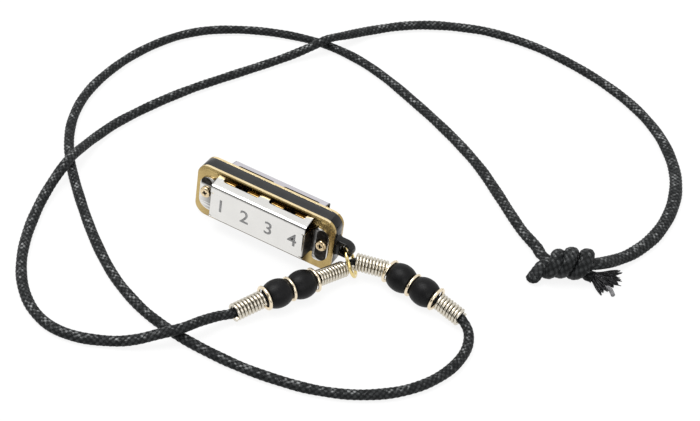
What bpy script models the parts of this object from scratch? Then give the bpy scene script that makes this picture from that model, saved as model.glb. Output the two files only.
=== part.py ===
# Mini harmonica necklace: a four-hole harmonica hung by a link ring on a beaded cord.
#
# The harmonica stands on its mouth edge at the origin. +X runs along it towards the
# eyelet, +Y goes through its thickness away from the front cover, and +Z goes up to
# the closed back of the comb. The cord lies on the table around it.

import math

import bmesh
import bpy
from mathutils import Matrix, Vector

MM = 0.001

# Comb
COMB_LENGTH = 35.0 * MM
COMB_HEIGHT = 14.0 * MM
COMB_THICKNESS = 2.8 * MM
CORNER_RADIUS = 2.8 * MM
HOLE_COUNT = 4
HOLE_PITCH = 6.1 * MM
CELL_WIDTH = 4.4 * MM
CELL_DEPTH = 11.2 * MM
CELL_CORNER = 0.7 * MM

# Eyelet lug on the comb's right end
LUG_REACH = 2.2 * MM
LUG_RADIUS = 1.95 * MM
LUG_THICKNESS = 2.0 * MM
LUG_RIM = 0.35 * MM
LUG_FILLET = 1.0 * MM
LUG_HOLE_RADIUS = 1.1 * MM
LUG_ROOT = 0.06 * MM

# Reed plates, reeds and their pads
PLATE_THICKNESS = 0.6 * MM
PLATE_MOUTH_SETBACK = 0.15 * MM
REED_WIDTH = 1.8 * MM
REED_LENGTH = 6.45 * MM
REED_SHORTENING = 0.35 * MM
REED_THICKNESS = 0.12 * MM
REED_OFFSET = 0.06 * MM
REED_SLOT_CLEARANCE = 0.1 * MM
PAD_WIDTH = 3.1 * MM
PAD_HEIGHT = 1.6 * MM
PAD_THICKNESS = 0.45 * MM
PAD_BEVEL = 0.08 * MM
RIVET_RADIUS = 0.45 * MM
RIVET_HEAD_RADIUS = 0.7 * MM
RIVET_HEAD_HEIGHT = 0.15 * MM
OUTER_PAD_SETBACK = 2.0 * MM
INNER_PAD_GAP = 0.3 * MM

# Covers
COVER_SHEET = 0.3 * MM
COVER_LENGTH = 24.0 * MM
COVER_RISE = 3.5 * MM
COVER_MOUTH_EDGE = 3.4 * MM
COVER_BACK_EDGE = 12.4 * MM
COVER_FOLD = 0.5 * MM
NECK_HALF_WIDTH = 3.3 * MM
NECK_SLANT = 0.5 * MM
NECK_STEP = 0.05 * MM
NECK_FOLD = 0.5 * MM
FLANGE_HALF_WIDTH = 4.3 * MM
FLANGE_END = 16.5 * MM
FLANGE_OUTER_CORNER = 2.5 * MM
FLANGE_INNER_CORNER = 1.2 * MM
SLOT_START = 1.2 * MM
SLOT_END = 10.4 * MM
SLOT_CORNER = 0.6 * MM
FRONT_SLOT_DEPTH = 0.8 * MM
REAR_SLOT_DEPTH = 2.3 * MM

# Cover screws
SCREW_SPACING = 29.6 * MM
SCREW_HEIGHT = 7.1 * MM
SCREW_HEAD_RADIUS = 1.2 * MM
SCREW_HEAD_HEIGHT = 0.7 * MM
SCREW_SHANK_RADIUS = 0.55 * MM
SCREW_LENGTH = 1.9 * MM
SCREW_HOLE_CLEARANCE = 0.05 * MM
SCREW_CROSS_LENGTH = 1.4 * MM
SCREW_CROSS_WIDTH = 0.32 * MM
SCREW_CROSS_DEPTH = 0.35 * MM

# Link ring
LINK_OUTER_DIAMETER = 7.8 * MM
LINK_WIRE = 0.8 * MM
LINK_DROP_IN_HOLE = 0.25 * MM
LINK_HEADING = math.radians(24.0)
LINK_BUTT = 0.08 * MM

# Cord and knot
CORD_DIAMETER = 2.2 * MM
CROSSING_GAP = 0.25 * MM
KNOT_TURNS = 3
KNOT_GAP = 0.1 * MM
KNOT_LEFT = Vector((56.35, 25.9, 0.0)) * MM
KNOT_RIGHT = Vector((65.8, 33.15, 0.0)) * MM
KNOT_LEAN = 0.37
KNOT_LEAN_TURN = math.radians(39.7)
TAIL_FLARE = 2.3 * MM
TAIL_LENGTH = 4.2 * MM
TAIL_POINTS = 7
TAIL_CORE_RADIUS = 0.6 * MM
TAIL_CORE_REACH = 2.2 * MM

# Beads, spacer rings and springs
BEAD_DIAMETER = 6.4 * MM
BEAD_LENGTH = 5.3 * MM
BEAD_SWELL = 3.8 * MM
BEAD_BORE_CLEARANCE = 0.4 * MM
SPACER_OUTER_DIAMETER = 5.7 * MM
SPACER_WIRE = 0.85 * MM
SPRING_DIAMETER = 3.9 * MM
SPRING_WIRE = 0.33 * MM
SPRING_PITCH = 0.78 * MM
THREAD_GAP = 0.05 * MM

# Clearance between parts that touch
SEAT_GAP = 0.03 * MM
JOINT_GAP = 0.3 * MM

# Where the two strung groups lie: the inner bead's centre, the way outwards, the
# inner spring's end beside the link ring and the outer spring's far end
STRUNG = {
    "left": {
        "bead": Vector((15.9, -12.0)) * MM,
        "heading": math.radians(243.3),
        "ring_end": Vector((20.62, -0.7, 2.2)) * MM,
        "far_end": Vector((7.9, -27.6)) * MM,
    },
    "right": {
        "bead": Vector((32.6, 2.85)) * MM,
        "heading": math.radians(-8.6),
        "ring_end": Vector((21.85, 1.2, 3.5)) * MM,
        "far_end": Vector((48.9, 0.45)) * MM,
    },
}
CORD_BEND = Vector((21.1, 0.35, 2.85)) * MM

# The cord's two free strands, from the outer springs to the knot: x and y in
# millimetres, and the height in steps of one cord on top of another
LEFT_ROUTE = (
    (6.1, -30.4, 0.55), (4.4, -34.6, 0.9), (2.6, -38.7, 1.0), (-0.4, -42.3, 0.8),
    (-4.2, -45.7, 0.3), (-8.4, -48.4, 0.0), (-14.6, -51.4, 0.0), (-20.9, -52.1, 0.0),
    (-27.1, -50.0, 0.0), (-32.8, -45.5, 0.0), (-37.6, -39.4, 0.0), (-41.7, -31.8, 0.0),
    (-45.2, -22.7, 0.05), (-46.9, -15.1, 0.5), (-47.7, -7.7, 1.0), (-48.6, -0.4, 0.5),
    (-49.0, 6.0, 0.05), (-48.2, 13.0, 0.0), (-45.5, 23.5, 0.0), (-41.8, 34.1, 0.0),
    (-37.5, 43.8, 0.0), (-33.2, 53.1, 0.0), (-29.7, 60.5, 0.1), (-26.4, 66.3, 0.6),
    (-24.1, 70.7, 1.0), (-21.9, 76.2, 0.6), (-18.9, 83.6, 0.05), (-13.5, 90.8, 0.0),
    (-7.5, 96.3, 0.0), (-0.3, 100.7, 0.0), (7.8, 103.9, 0.0), (20.4, 105.3, 0.0),
    (35.1, 103.2, 0.0), (48.4, 98.4, 0.0), (59.0, 91.2, 0.0), (66.6, 82.2, 0.0),
    (71.0, 73.3, 0.0), (73.2, 63.5, 0.0), (73.3, 53.6, 0.0), (71.5, 45.4, 0.0),
    (69.3, 39.6, 0.3),
)
LEFT_TAIL = ((55.5, 24.0, 0.65), (55.4, 22.9, 0.15), (55.6, 21.7, 0.0))
RIGHT_ROUTE = (
    (51.4, -1.4, 0.1), (53.2, -5.2, 0.0), (53.7, -9.8, 0.0), (53.0, -15.1, 0.0),
    (50.8, -20.9, 0.0), (47.0, -26.4, 0.0), (41.6, -31.2, 0.0), (35.6, -34.6, 0.0),
    (28.3, -37.1, 0.0), (17.2, -39.0, 0.0), (4.9, -39.1, 0.0), (-5.0, -37.7, 0.0),
    (-12.6, -35.1, 0.0), (-20.3, -31.0, 0.0), (-29.7, -24.0, 0.0), (-40.1, -14.7, 0.0),
    (-49.1, -5.5, 0.0), (-55.2, 3.0, 0.0), (-58.9, 11.2, 0.0), (-60.8, 19.4, 0.0),
    (-61.2, 28.0, 0.0), (-60.5, 36.4, 0.0), (-58.7, 44.3, 0.0), (-55.9, 51.3, 0.0),
    (-52.0, 57.1, 0.0), (-47.1, 61.7, 0.0), (-41.0, 65.8, 0.0), (-34.1, 69.0, 0.0),
    (-26.7, 71.0, 0.0), (-19.3, 71.3, 0.0), (-12.0, 70.2, 0.0), (-4.1, 67.7, 0.0),
    (4.2, 64.2, 0.0), (12.9, 60.2, 0.0), (21.4, 55.7, 0.0), (29.0, 50.9, 0.0),
    (35.8, 45.5, 0.0), (42.3, 40.0, 0.0), (46.9, 36.3, 0.0), (50.1, 34.3, 0.0),
    (52.5, 32.8, 0.0), (53.8, 31.5, 0.0),
)
STRAND_TOLERANCE = 0.75 * MM
CORE_TOLERANCE = 0.1 * MM

# Fineness of round shapes
ARC_STEPS = 4
HOLE_STEPS = 12
SCREW_STEPS = 16
BEAD_STEPS = 22
BEAD_RINGS = 8
SPACER_STEPS = 20
SPACER_SIDES = 6
SPRING_POINTS = 9
KNOT_POINTS = 24
LINK_POINTS = 36

# Sizes that follow from the ones above
HALF_STACK = COMB_THICKNESS / 2 + SEAT_GAP + PLATE_THICKNESS
OUTER_PAD_TOP = COMB_HEIGHT - OUTER_PAD_SETBACK
INNER_PAD_TOP = CELL_DEPTH - INNER_PAD_GAP
CORD_RADIUS = CORD_DIAMETER / 2
CORD_STEP = CORD_DIAMETER + CROSSING_GAP
LINK_RADIUS = (LINK_OUTER_DIAMETER - LINK_WIRE) / 2
LUG_CENTRE = Vector((COMB_LENGTH / 2 + LUG_REACH, 0.0, COMB_HEIGHT / 2))
LINK_TOP = LUG_CENTRE - Vector((0.0, 0.0, LINK_DROP_IN_HOLE))
WRAP_RADIUS = CORD_DIAMETER + KNOT_GAP
SPACER_PITCH = BEAD_LENGTH + SPACER_WIRE + 2 * THREAD_GAP
COVER_MIDDLE = (COVER_MOUTH_EDGE + COVER_BACK_EDGE) / 2


# Scene, materials and modifiers

def clear_scene():
    for obj in list(bpy.data.objects):
        bpy.data.objects.remove(obj, do_unlink=True)


def make_collection(name):
    collection = bpy.data.collections.new(name)
    bpy.context.scene.collection.children.link(collection)
    return collection


def make_material(name, color, roughness, metallic):
    material = bpy.data.materials.new(name)
    material.use_nodes = True
    shader = material.node_tree.nodes["Principled BSDF"]
    shader.inputs["Base Color"].default_value = (*color, 1.0)
    shader.inputs["Roughness"].default_value = roughness
    shader.inputs["Metallic"].default_value = metallic
    return material


def add_object(name, data, collection, material=None):
    obj = bpy.data.objects.new(name, data)
    collection.objects.link(obj)
    if material:
        data.materials.clear()
        data.materials.append(material)
    return obj


def curve_to_mesh(curve_object, name, scale):
    """The curve's evaluated shape as a mesh at the given scale, its caps welded on."""
    bpy.context.view_layer.update()
    evaluated = curve_object.evaluated_get(bpy.context.evaluated_depsgraph_get())
    mesh = bpy.data.meshes.new_from_object(evaluated)
    mesh.name = name
    mesh.transform(Matrix.Scale(scale, 4))
    work = bmesh.new()
    work.from_mesh(mesh)
    bmesh.ops.remove_doubles(work, verts=work.verts, dist=0.0005 * MM)
    bmesh.ops.recalc_face_normals(work, faces=work.faces)
    work.to_mesh(mesh)
    work.free()
    curve = curve_object.data
    bpy.data.objects.remove(curve_object, do_unlink=True)
    bpy.data.curves.remove(curve)
    return mesh


def smooth_round(obj, angle=math.radians(35.0)):
    obj.data.shade_smooth()
    obj.data.set_sharp_from_angle(angle=angle)


def cut(obj, cutter):
    modifier = obj.modifiers.new("cut_" + cutter.name, "BOOLEAN")
    modifier.operation = "DIFFERENCE"
    modifier.object = cutter
    modifier.solver = "EXACT"


def join(obj, other):
    modifier = obj.modifiers.new("join_" + other.name, "BOOLEAN")
    modifier.operation = "UNION"
    modifier.object = other
    modifier.solver = "EXACT"


def as_helper(obj):
    obj.hide_render = True
    obj.display_type = "WIRE"
    return obj


# Outlines, slabs, tubes and turned shapes

def arc(centre, radius, start, end, steps):
    points = []
    for step in range(steps + 1):
        angle = start + (end - start) * step / steps
        points.append((centre[0] + radius * math.cos(angle), centre[1] + radius * math.sin(angle)))
    return points


def rounded(corners, steps=ARC_STEPS):
    """A closed outline from corners (x, y, radius), each rounded by an arc."""
    points = []
    for index, (x, y, radius) in enumerate(corners):
        corner = Vector((x, y))
        before = (Vector(corners[index - 1][:2]) - corner).normalized()
        after = (Vector(corners[(index + 1) % len(corners)][:2]) - corner).normalized()
        if radius <= 0.0:
            points.append((x, y))
            continue
        half = before.angle(after) / 2
        reach = radius / math.tan(half)
        start = corner + before * reach
        end = corner + after * reach
        centre = corner + (before + after).normalized() * radius / math.sin(half)
        first = start - centre
        turn = first.angle_signed(end - centre)
        for step in range(steps + 1):
            offset = Matrix.Rotation(-turn * step / steps, 2) @ first
            points.append(tuple(centre + offset))
    return points


def rectangle(left, bottom, right, top, radius=0.0):
    return [(left, bottom, radius), (right, bottom, radius), (right, top, radius), (left, top, radius)]


def slab(name, loops, thickness):
    """A flat plate as a mesh: the first loop is its outline, the others are holes.

    Its outline is filled at millimetre scale, where the fill's tolerance is fine enough.
    """
    curve = bpy.data.curves.new(name + "_outline", "CURVE")
    curve.dimensions = "2D"
    curve.fill_mode = "BOTH"
    curve.extrude = thickness / 2 / MM
    for loop in loops:
        spline = curve.splines.new("POLY")
        spline.points.add(len(loop) - 1)
        for point, (x, y) in zip(spline.points, loop):
            point.co = (x / MM, y / MM, 0.0, 1.0)
        spline.use_cyclic_u = True
    holder = bpy.data.objects.new(name + "_outline", curve)
    bpy.context.scene.collection.objects.link(holder)
    return curve_to_mesh(holder, name, MM)


def merge_flat_faces(mesh):
    """Makes each flat side of a slab one face, so that a bevel runs evenly round it."""
    work = bmesh.new()
    work.from_mesh(mesh)
    bmesh.ops.dissolve_limit(work, angle_limit=math.radians(1.0), verts=work.verts, edges=work.edges)
    work.to_mesh(mesh)
    work.free()
    return mesh


def stand_up(obj, y):
    """Turns a slab's outline into the X-Z plane, with its middle at the given y."""
    obj.rotation_euler = (math.pi / 2, 0.0, 0.0)
    obj.location = (0.0, y, 0.0)


def box_mesh(name, low, high):
    work = bmesh.new()
    bmesh.ops.create_cube(work, size=1.0)
    size = Vector(high) - Vector(low)
    middle = (Vector(high) + Vector(low)) / 2
    bmesh.ops.scale(work, verts=work.verts, vec=size)
    bmesh.ops.translate(work, verts=work.verts, vec=middle)
    mesh = bpy.data.meshes.new(name)
    work.to_mesh(mesh)
    work.free()
    return mesh


def cylinder_mesh(name, radius, length, steps):
    work = bmesh.new()
    bmesh.ops.create_cone(work, cap_ends=True, segments=steps, radius1=radius, radius2=radius, depth=length)
    mesh = bpy.data.meshes.new(name)
    work.to_mesh(mesh)
    work.free()
    return mesh


def turned(name, profile, steps, collection, material, closed):
    """A profile (radius, height) turned about local Z, running down its outer side."""
    mesh = bpy.data.meshes.new(name)
    vertices = [(radius, 0.0, height) for radius, height in profile]
    edges = [(index, index + 1) for index in range(len(profile) - 1)]
    if closed:
        edges.append((len(profile) - 1, 0))
    mesh.from_pydata(vertices, edges, [])
    obj = add_object(name, mesh, collection, material)
    screw = obj.modifiers.new("turn", "SCREW")
    screw.steps = steps
    screw.render_steps = steps
    screw.use_merge_vertices = True
    screw.merge_threshold = 0.0005 * MM
    screw.use_smooth_shade = True
    return obj


def tube(name, points, radius, resolution, collection, material):
    curve = bpy.data.curves.new(name, "CURVE")
    curve.dimensions = "3D"
    curve.bevel_depth = radius
    curve.bevel_resolution = resolution
    curve.use_fill_caps = True
    spline = curve.splines.new("POLY")
    spline.points.add(len(points) - 1)
    for spot, point in zip(spline.points, points):
        spot.co = (*point, 1.0)
    return add_object(name, curve, collection, material)


def smooth_path(stations, per_span=24):
    """A smooth curve through the stations, read closely."""
    ends = [stations[0] * 2 - stations[1], *stations, stations[-1] * 2 - stations[-2]]
    path = []
    for index in range(len(stations) - 1):
        before, start, end, after = ends[index:index + 4]
        for step in range(per_span):
            t = step / per_span
            path.append((start * 2 + (end - before) * t
                         + (before * 2 - start * 5 + end * 4 - after) * t * t
                         + (start * 3 - before - end * 3 + after) * t ** 3) / 2)
    path.append(stations[-1])
    return path


def thin_path(path, tolerance):
    """Keeps few points, whose straight pieces stay within the tolerance of a close path.

    A miss in height counts three times, because one strand lies close above the other.
    """
    start, end = path[0], path[-1]
    run = (end - start).normalized()
    worst, place = 0.0, 0
    for index in range(1, len(path) - 1):
        offset = path[index] - start
        miss = offset - run * offset.dot(run)
        away = Vector((miss.x, miss.y, miss.z * 3)).length
        if away > worst:
            worst, place = away, index
    if worst <= tolerance:
        return [start, end]
    return thin_path(path[:place + 1], tolerance)[:-1] + thin_path(path[place:], tolerance)


def path_length(path):
    return sum((b - a).length for a, b in zip(path, path[1:]))


def least_gap(points, points_per_turn, wire):
    """The least gap between a winding's neighbouring turns, measured on its points."""
    least = math.inf
    for index, point in enumerate(points):
        for other in points[index + points_per_turn - 2:index + points_per_turn + 3]:
            least = min(least, (other - point).length)
    return least - wire


# Comb and eyelet

def cell_centres():
    first = -(HOLE_COUNT - 1) / 2 * HOLE_PITCH
    return [first + index * HOLE_PITCH for index in range(HOLE_COUNT)]


def screw_centres():
    return [(-SCREW_SPACING / 2, SCREW_HEIGHT), (SCREW_SPACING / 2, SCREW_HEIGHT)]


def screw_holes(clearance):
    radius = SCREW_SHANK_RADIUS + clearance
    return [arc(centre, radius, 0.0, 2 * math.pi, HOLE_STEPS)[:-1] for centre in screw_centres()]


def make_comb(parts, helpers, material):
    half = COMB_LENGTH / 2
    corners = [(-half, 0.0, CORNER_RADIUS)]
    for centre in cell_centres():
        left = centre - CELL_WIDTH / 2
        right = centre + CELL_WIDTH / 2
        corners += [(left, 0.0, 0.0), (left, CELL_DEPTH, CELL_CORNER)]
        corners += [(right, CELL_DEPTH, CELL_CORNER), (right, 0.0, 0.0)]
    corners += [(half, 0.0, CORNER_RADIUS), (half, COMB_HEIGHT, CORNER_RADIUS)]
    corners += [(-half, COMB_HEIGHT, CORNER_RADIUS)]
    loops = [rounded(corners), *screw_holes(SCREW_HOLE_CLEARANCE)]
    comb = add_object("comb", slab("comb", loops, COMB_THICKNESS), parts, material)
    stand_up(comb, 0.0)

    lug_mesh = merge_flat_faces(slab("eyelet_lug", [lug_outline()], LUG_THICKNESS))
    lug = add_object("eyelet_lug", lug_mesh, helpers)
    stand_up(lug, 0.0)
    rim = lug.modifiers.new("round_rim", "BEVEL")
    rim.width = LUG_RIM
    rim.segments = 2
    rim.limit_method = "ANGLE"
    rim.angle_limit = math.radians(60.0)
    join(comb, as_helper(lug))

    hole = add_object("eyelet_hole", cylinder_mesh("eyelet_hole", LUG_HOLE_RADIUS, 2 * COMB_THICKNESS, 20), helpers)
    hole.rotation_euler = (math.pi / 2, 0.0, 0.0)
    hole.location = LUG_CENTRE
    cut(comb, as_helper(hole))
    return comb


def lug_outline():
    """The lug's outline; its fillets start just inside the comb's end."""
    root = COMB_LENGTH / 2 - LUG_ROOT
    middle = COMB_HEIGHT / 2
    flare = LUG_RADIUS + LUG_FILLET
    outline = [(root - LUG_FILLET, middle - flare)]
    outline += arc((root + LUG_FILLET, middle - flare), LUG_FILLET, math.pi, math.pi / 2, ARC_STEPS)
    outline += arc((LUG_CENTRE.x, middle), LUG_RADIUS, -math.pi / 2, math.pi / 2, 3 * ARC_STEPS)
    outline += arc((root + LUG_FILLET, middle + flare), LUG_FILLET, -math.pi / 2, -math.pi, ARC_STEPS)
    outline += [(root - LUG_FILLET, middle + flare)]
    return outline


# Reed plates, reeds and pads

def reed_length(index):
    return REED_LENGTH - index * REED_SHORTENING


def make_reed_plate(name, side, pad_top, parts, material):
    half = COMB_LENGTH / 2
    outline = rounded(rectangle(-half, PLATE_MOUTH_SETBACK, half, COMB_HEIGHT, CORNER_RADIUS), 6)
    loops = [outline, *screw_holes(SCREW_HOLE_CLEARANCE)]
    slot_half = REED_WIDTH / 2 + REED_SLOT_CLEARANCE
    for index, centre in enumerate(cell_centres()):
        root = pad_top - PAD_HEIGHT
        tip = root - reed_length(index) - 2 * REED_SLOT_CLEARANCE
        loops.append(rounded(rectangle(centre - slot_half, tip, centre + slot_half, root), 1))
        rivet = (centre, pad_top - PAD_HEIGHT / 2)
        loops.append(arc(rivet, RIVET_RADIUS + SCREW_HOLE_CLEARANCE, 0.0, 2 * math.pi, HOLE_STEPS)[:-1])
    plate = add_object(name, slab(name, loops, PLATE_THICKNESS), parts, material)
    stand_up(plate, side * (COMB_THICKNESS / 2 + SEAT_GAP + PLATE_THICKNESS / 2))
    return plate


def make_reed(name, index, face_y, outward, pad_top, parts, material):
    """A reed tongue hinged at the pad's edge, lying just off the plate's face."""
    length = reed_length(index)
    half = REED_WIDTH / 2
    tip = half * 0.85
    outline = rounded([(-half, -REED_SLOT_CLEARANCE, 0.0), (-tip, -length, half / 4),
                       (tip, -length, half / 4), (half, -REED_SLOT_CLEARANCE, 0.0)], 2)
    reed = add_object(name, slab(name, [outline], REED_THICKNESS), parts, material)
    stand_up(reed, face_y + outward * (REED_OFFSET + REED_THICKNESS / 2))
    reed.location.x = cell_centres()[index]
    reed.location.z = pad_top - PAD_HEIGHT
    return reed


def make_pad(name, index, face_y, outward, pad_top, parts, helpers, material):
    """A pad on the plate's face with the rivet that goes through the plate."""
    centre = cell_centres()[index]
    middle = pad_top - PAD_HEIGHT / 2
    mesh = box_mesh(name, (-PAD_WIDTH / 2, -PAD_THICKNESS / 2, -PAD_HEIGHT / 2),
                    (PAD_WIDTH / 2, PAD_THICKNESS / 2, PAD_HEIGHT / 2))
    pad = add_object(name, mesh, parts, material)
    pad.location = (centre, face_y + outward * (SEAT_GAP + PAD_THICKNESS / 2), middle)
    edges = pad.modifiers.new("round_edges", "BEVEL")
    edges.width = PAD_BEVEL
    edges.segments = 1
    length = PLATE_THICKNESS + SEAT_GAP + PAD_THICKNESS + RIVET_HEAD_HEIGHT - SCREW_HOLE_CLEARANCE
    rivet_top = SEAT_GAP + PAD_THICKNESS + RIVET_HEAD_HEIGHT
    rivet = add_object(name + "_rivet", cylinder_mesh(name + "_rivet", RIVET_RADIUS, length, HOLE_STEPS), helpers)
    rivet.rotation_euler = (math.pi / 2, 0.0, 0.0)
    rivet.location = (centre, face_y + outward * (rivet_top - length / 2), middle)
    join(pad, as_helper(rivet))
    head_depth = 2 * RIVET_HEAD_HEIGHT
    head_mesh = cylinder_mesh(name + "_head", RIVET_HEAD_RADIUS, head_depth, HOLE_STEPS)
    head = add_object(name + "_head", head_mesh, helpers)
    head.rotation_euler = (math.pi / 2, 0.0, 0.0)
    head.location = (centre, face_y + outward * (rivet_top - SEAT_GAP / 2 - head_depth / 2), middle)
    join(pad, as_helper(head))
    return pad


def make_reeds(parts, helpers, brass, reed_metal):
    front_face = -HALF_STACK
    rear_face = COMB_THICKNESS / 2 + SEAT_GAP
    make_reed_plate("reed_plate_front", -1, OUTER_PAD_TOP, parts, brass)
    make_reed_plate("reed_plate_rear", 1, INNER_PAD_TOP, parts, brass)
    for index in range(HOLE_COUNT):
        number = index + 1
        make_reed(f"reed_front_{number}", index, front_face, -1, OUTER_PAD_TOP, parts, reed_metal)
        make_reed(f"reed_rear_{number}", index, rear_face, -1, INNER_PAD_TOP, parts, reed_metal)
        make_pad(f"reed_pad_front_{number}", index, front_face, -1, OUTER_PAD_TOP, parts, helpers, reed_metal)
        make_pad(f"reed_pad_rear_{number}", index, rear_face, -1, INNER_PAD_TOP, parts, helpers, reed_metal)


# Covers

def folded_sheet(name, path, width, sheet, collection):
    """A sheet folded along a path in X-Y and extruded along Z, as an open surface."""
    work = bmesh.new()
    vertices = [work.verts.new((x, y, -width / 2)) for x, y in path]
    edges = [work.edges.new(pair) for pair in zip(vertices, vertices[1:])]
    swept = bmesh.ops.extrude_edge_only(work, edges=edges)["geom"]
    moved = [item for item in swept if isinstance(item, bmesh.types.BMVert)]
    bmesh.ops.translate(work, verts=moved, vec=(0.0, 0.0, width))
    mesh = bpy.data.meshes.new(name)
    work.to_mesh(mesh)
    work.free()
    obj = add_object(name, mesh, collection)
    solidify = obj.modifiers.new("sheet", "SOLIDIFY")
    solidify.thickness = sheet
    solidify.offset = 0.0
    return obj


def open_bend(corners, steps=3):
    """An open path with its inner corners rounded."""
    closed = [(corners[0][0], corners[0][1], 0.0), *corners[1:-1], (corners[-1][0], corners[-1][1], 0.0)]
    return rounded(closed, steps)


def make_cover(name, side, slot_depth, parts, helpers, material):
    """A folded cover on one reed plate; it is alike at both ends, so it only turns round."""
    half_sheet = COVER_SHEET / 2
    top = COVER_RISE - half_sheet
    half_width = (COVER_BACK_EDGE - COVER_MOUTH_EDGE) / 2 - half_sheet
    section = open_bend([(0.0, -half_width), (top, -half_width, COVER_FOLD), (top, half_width, COVER_FOLD),
                         (0.0, half_width)])
    channel = folded_sheet(name, section, COVER_LENGTH, COVER_SHEET, parts)
    channel.data.materials.append(material)
    turn = Matrix.Rotation(math.pi, 4, "Z") if side < 0 else Matrix.Identity(4)
    seat = Matrix.Translation((0.0, side * (HALF_STACK + SEAT_GAP), 0.0)) @ turn
    # the section's X is the rise and its Y the width, so it is laid along the plate
    lay = Matrix(((0, 0, 1, 0), (1, 0, 0, 0), (0, 1, 0, COVER_MIDDLE), (0, 0, 0, 1)))
    channel.matrix_world = seat @ lay

    for end in (-1, 1):
        suffix = "left" if end < 0 else "right"
        flange = make_cover_end(f"{name}_{suffix}", end, helpers)
        for piece in flange:
            piece.matrix_world = seat @ piece.matrix_world
            join(channel, as_helper(piece))
        slot = make_cover_slot(f"{name}_slot_{suffix}", end, slot_depth, helpers)
        slot.matrix_world = seat @ slot.matrix_world
        cut(channel, as_helper(slot))
    for end in (-1, 1):
        hole_mesh = cylinder_mesh(name + "_screw_hole", SCREW_SHANK_RADIUS + 2 * SCREW_HOLE_CLEARANCE,
                                  4 * COVER_SHEET, HOLE_STEPS)
        hole = add_object(f"{name}_screw_hole_{end}", hole_mesh, helpers)
        hole.matrix_world = seat @ Matrix.Translation((end * SCREW_SPACING / 2, half_sheet, SCREW_HEIGHT)) \
            @ Matrix.Rotation(math.pi / 2, 4, "X")
        cut(channel, as_helper(hole))
    return channel


def make_cover_end(name, end, helpers):
    """The narrow neck that steps down to the plate, and the round flange on the plate."""
    half_sheet = COVER_SHEET / 2
    face_end = COVER_LENGTH / 2 - half_sheet
    neck_top = COVER_RISE - NECK_STEP - half_sheet
    foot = face_end + NECK_SLANT
    path = open_bend([(face_end - 4 * COVER_SHEET, neck_top), (face_end, neck_top, NECK_FOLD),
                      (foot, half_sheet, NECK_FOLD), (foot + 5 * COVER_SHEET, half_sheet)])
    neck = folded_sheet(name + "_neck", [(end * x, y) for x, y in path], 2 * NECK_HALF_WIDTH, COVER_SHEET, helpers)
    neck.matrix_world = Matrix.Translation((0.0, 0.0, SCREW_HEIGHT))
    inner = foot + COVER_SHEET
    corners = [(inner, -FLANGE_HALF_WIDTH, FLANGE_INNER_CORNER), (FLANGE_END, -FLANGE_HALF_WIDTH, FLANGE_OUTER_CORNER),
               (FLANGE_END, FLANGE_HALF_WIDTH, FLANGE_OUTER_CORNER), (inner, FLANGE_HALF_WIDTH, FLANGE_INNER_CORNER)]
    outline = [(end * x, y) for x, y in rounded(corners)]
    flange = add_object(name + "_flange", slab(name + "_flange", [outline], COVER_SHEET * 0.98), helpers)
    flange.matrix_world = Matrix.Translation((0.0, half_sheet, SCREW_HEIGHT)) @ Matrix.Rotation(math.pi / 2, 4, "X")
    return neck, flange


def make_cover_slot(name, end, depth, helpers):
    """A sound slot in the back wall, open towards the plate, with round inner corners."""
    corners = [(SLOT_START, -COVER_SHEET, 0.0), (SLOT_END, -COVER_SHEET, 0.0),
               (SLOT_END, depth, SLOT_CORNER), (SLOT_START, depth, SLOT_CORNER)]
    outline = [(end * x, y) for x, y in rounded(corners)]
    slot = add_object(name, slab(name, [outline], 4 * COVER_SHEET), helpers)
    slot.matrix_world = Matrix.Translation((0.0, 0.0, COVER_BACK_EDGE - COVER_SHEET / 2))
    return slot


def make_screw(name, side, centre, parts, helpers, material):
    head = SCREW_HEAD_RADIUS
    rise = SCREW_HEAD_HEIGHT
    profile = [(0.0, rise)]
    for step in range(1, 4):
        angle = math.pi / 2 * step / 4
        profile.append((head * math.sin(angle), rise * (0.35 + 0.65 * math.cos(angle))))
    profile += [(head, rise * 0.3), (head, 0.0), (SCREW_SHANK_RADIUS, 0.0)]
    profile += [(SCREW_SHANK_RADIUS, -SCREW_LENGTH * 0.75), (SCREW_SHANK_RADIUS * 0.3, -SCREW_LENGTH)]
    profile += [(0.0, -SCREW_LENGTH)]
    screw = turned(name, profile, SCREW_STEPS, parts, material, closed=False)
    outer_face = HALF_STACK + SEAT_GAP + COVER_SHEET + SEAT_GAP
    placing = Matrix.Translation((centre[0], side * outer_face, centre[1])) \
        @ Matrix.Rotation(-side * math.pi / 2, 4, "X") @ Matrix.Rotation(math.radians(20.0), 4, "Z")
    screw.matrix_world = placing
    for arm, (length, width) in enumerate(((SCREW_CROSS_LENGTH, SCREW_CROSS_WIDTH),
                                           (SCREW_CROSS_WIDTH, SCREW_CROSS_LENGTH))):
        low = (-length / 2, -width / 2, rise - SCREW_CROSS_DEPTH)
        high = (length / 2, width / 2, rise + SCREW_CROSS_DEPTH)
        recess = add_object(f"{name}_recess_{arm}", box_mesh(name + "_recess", low, high), helpers)
        recess.matrix_world = placing
        cut(screw, as_helper(recess))
    return screw


# Link ring, beads, spacer rings and springs

def link_frame():
    """The link ring's centre and axes: it hangs from the eyelet and rests on the table."""
    fall = LINK_TOP.z - LINK_WIRE / 2
    lean = math.acos(min(1.0, fall / (2 * LINK_RADIUS)))
    down = Vector((math.sin(lean) * math.cos(LINK_HEADING), math.sin(lean) * math.sin(LINK_HEADING),
                   -math.cos(lean)))
    across = Vector((-math.sin(LINK_HEADING), math.cos(LINK_HEADING), 0.0))
    return LINK_TOP + down * LINK_RADIUS, down, across


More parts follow.
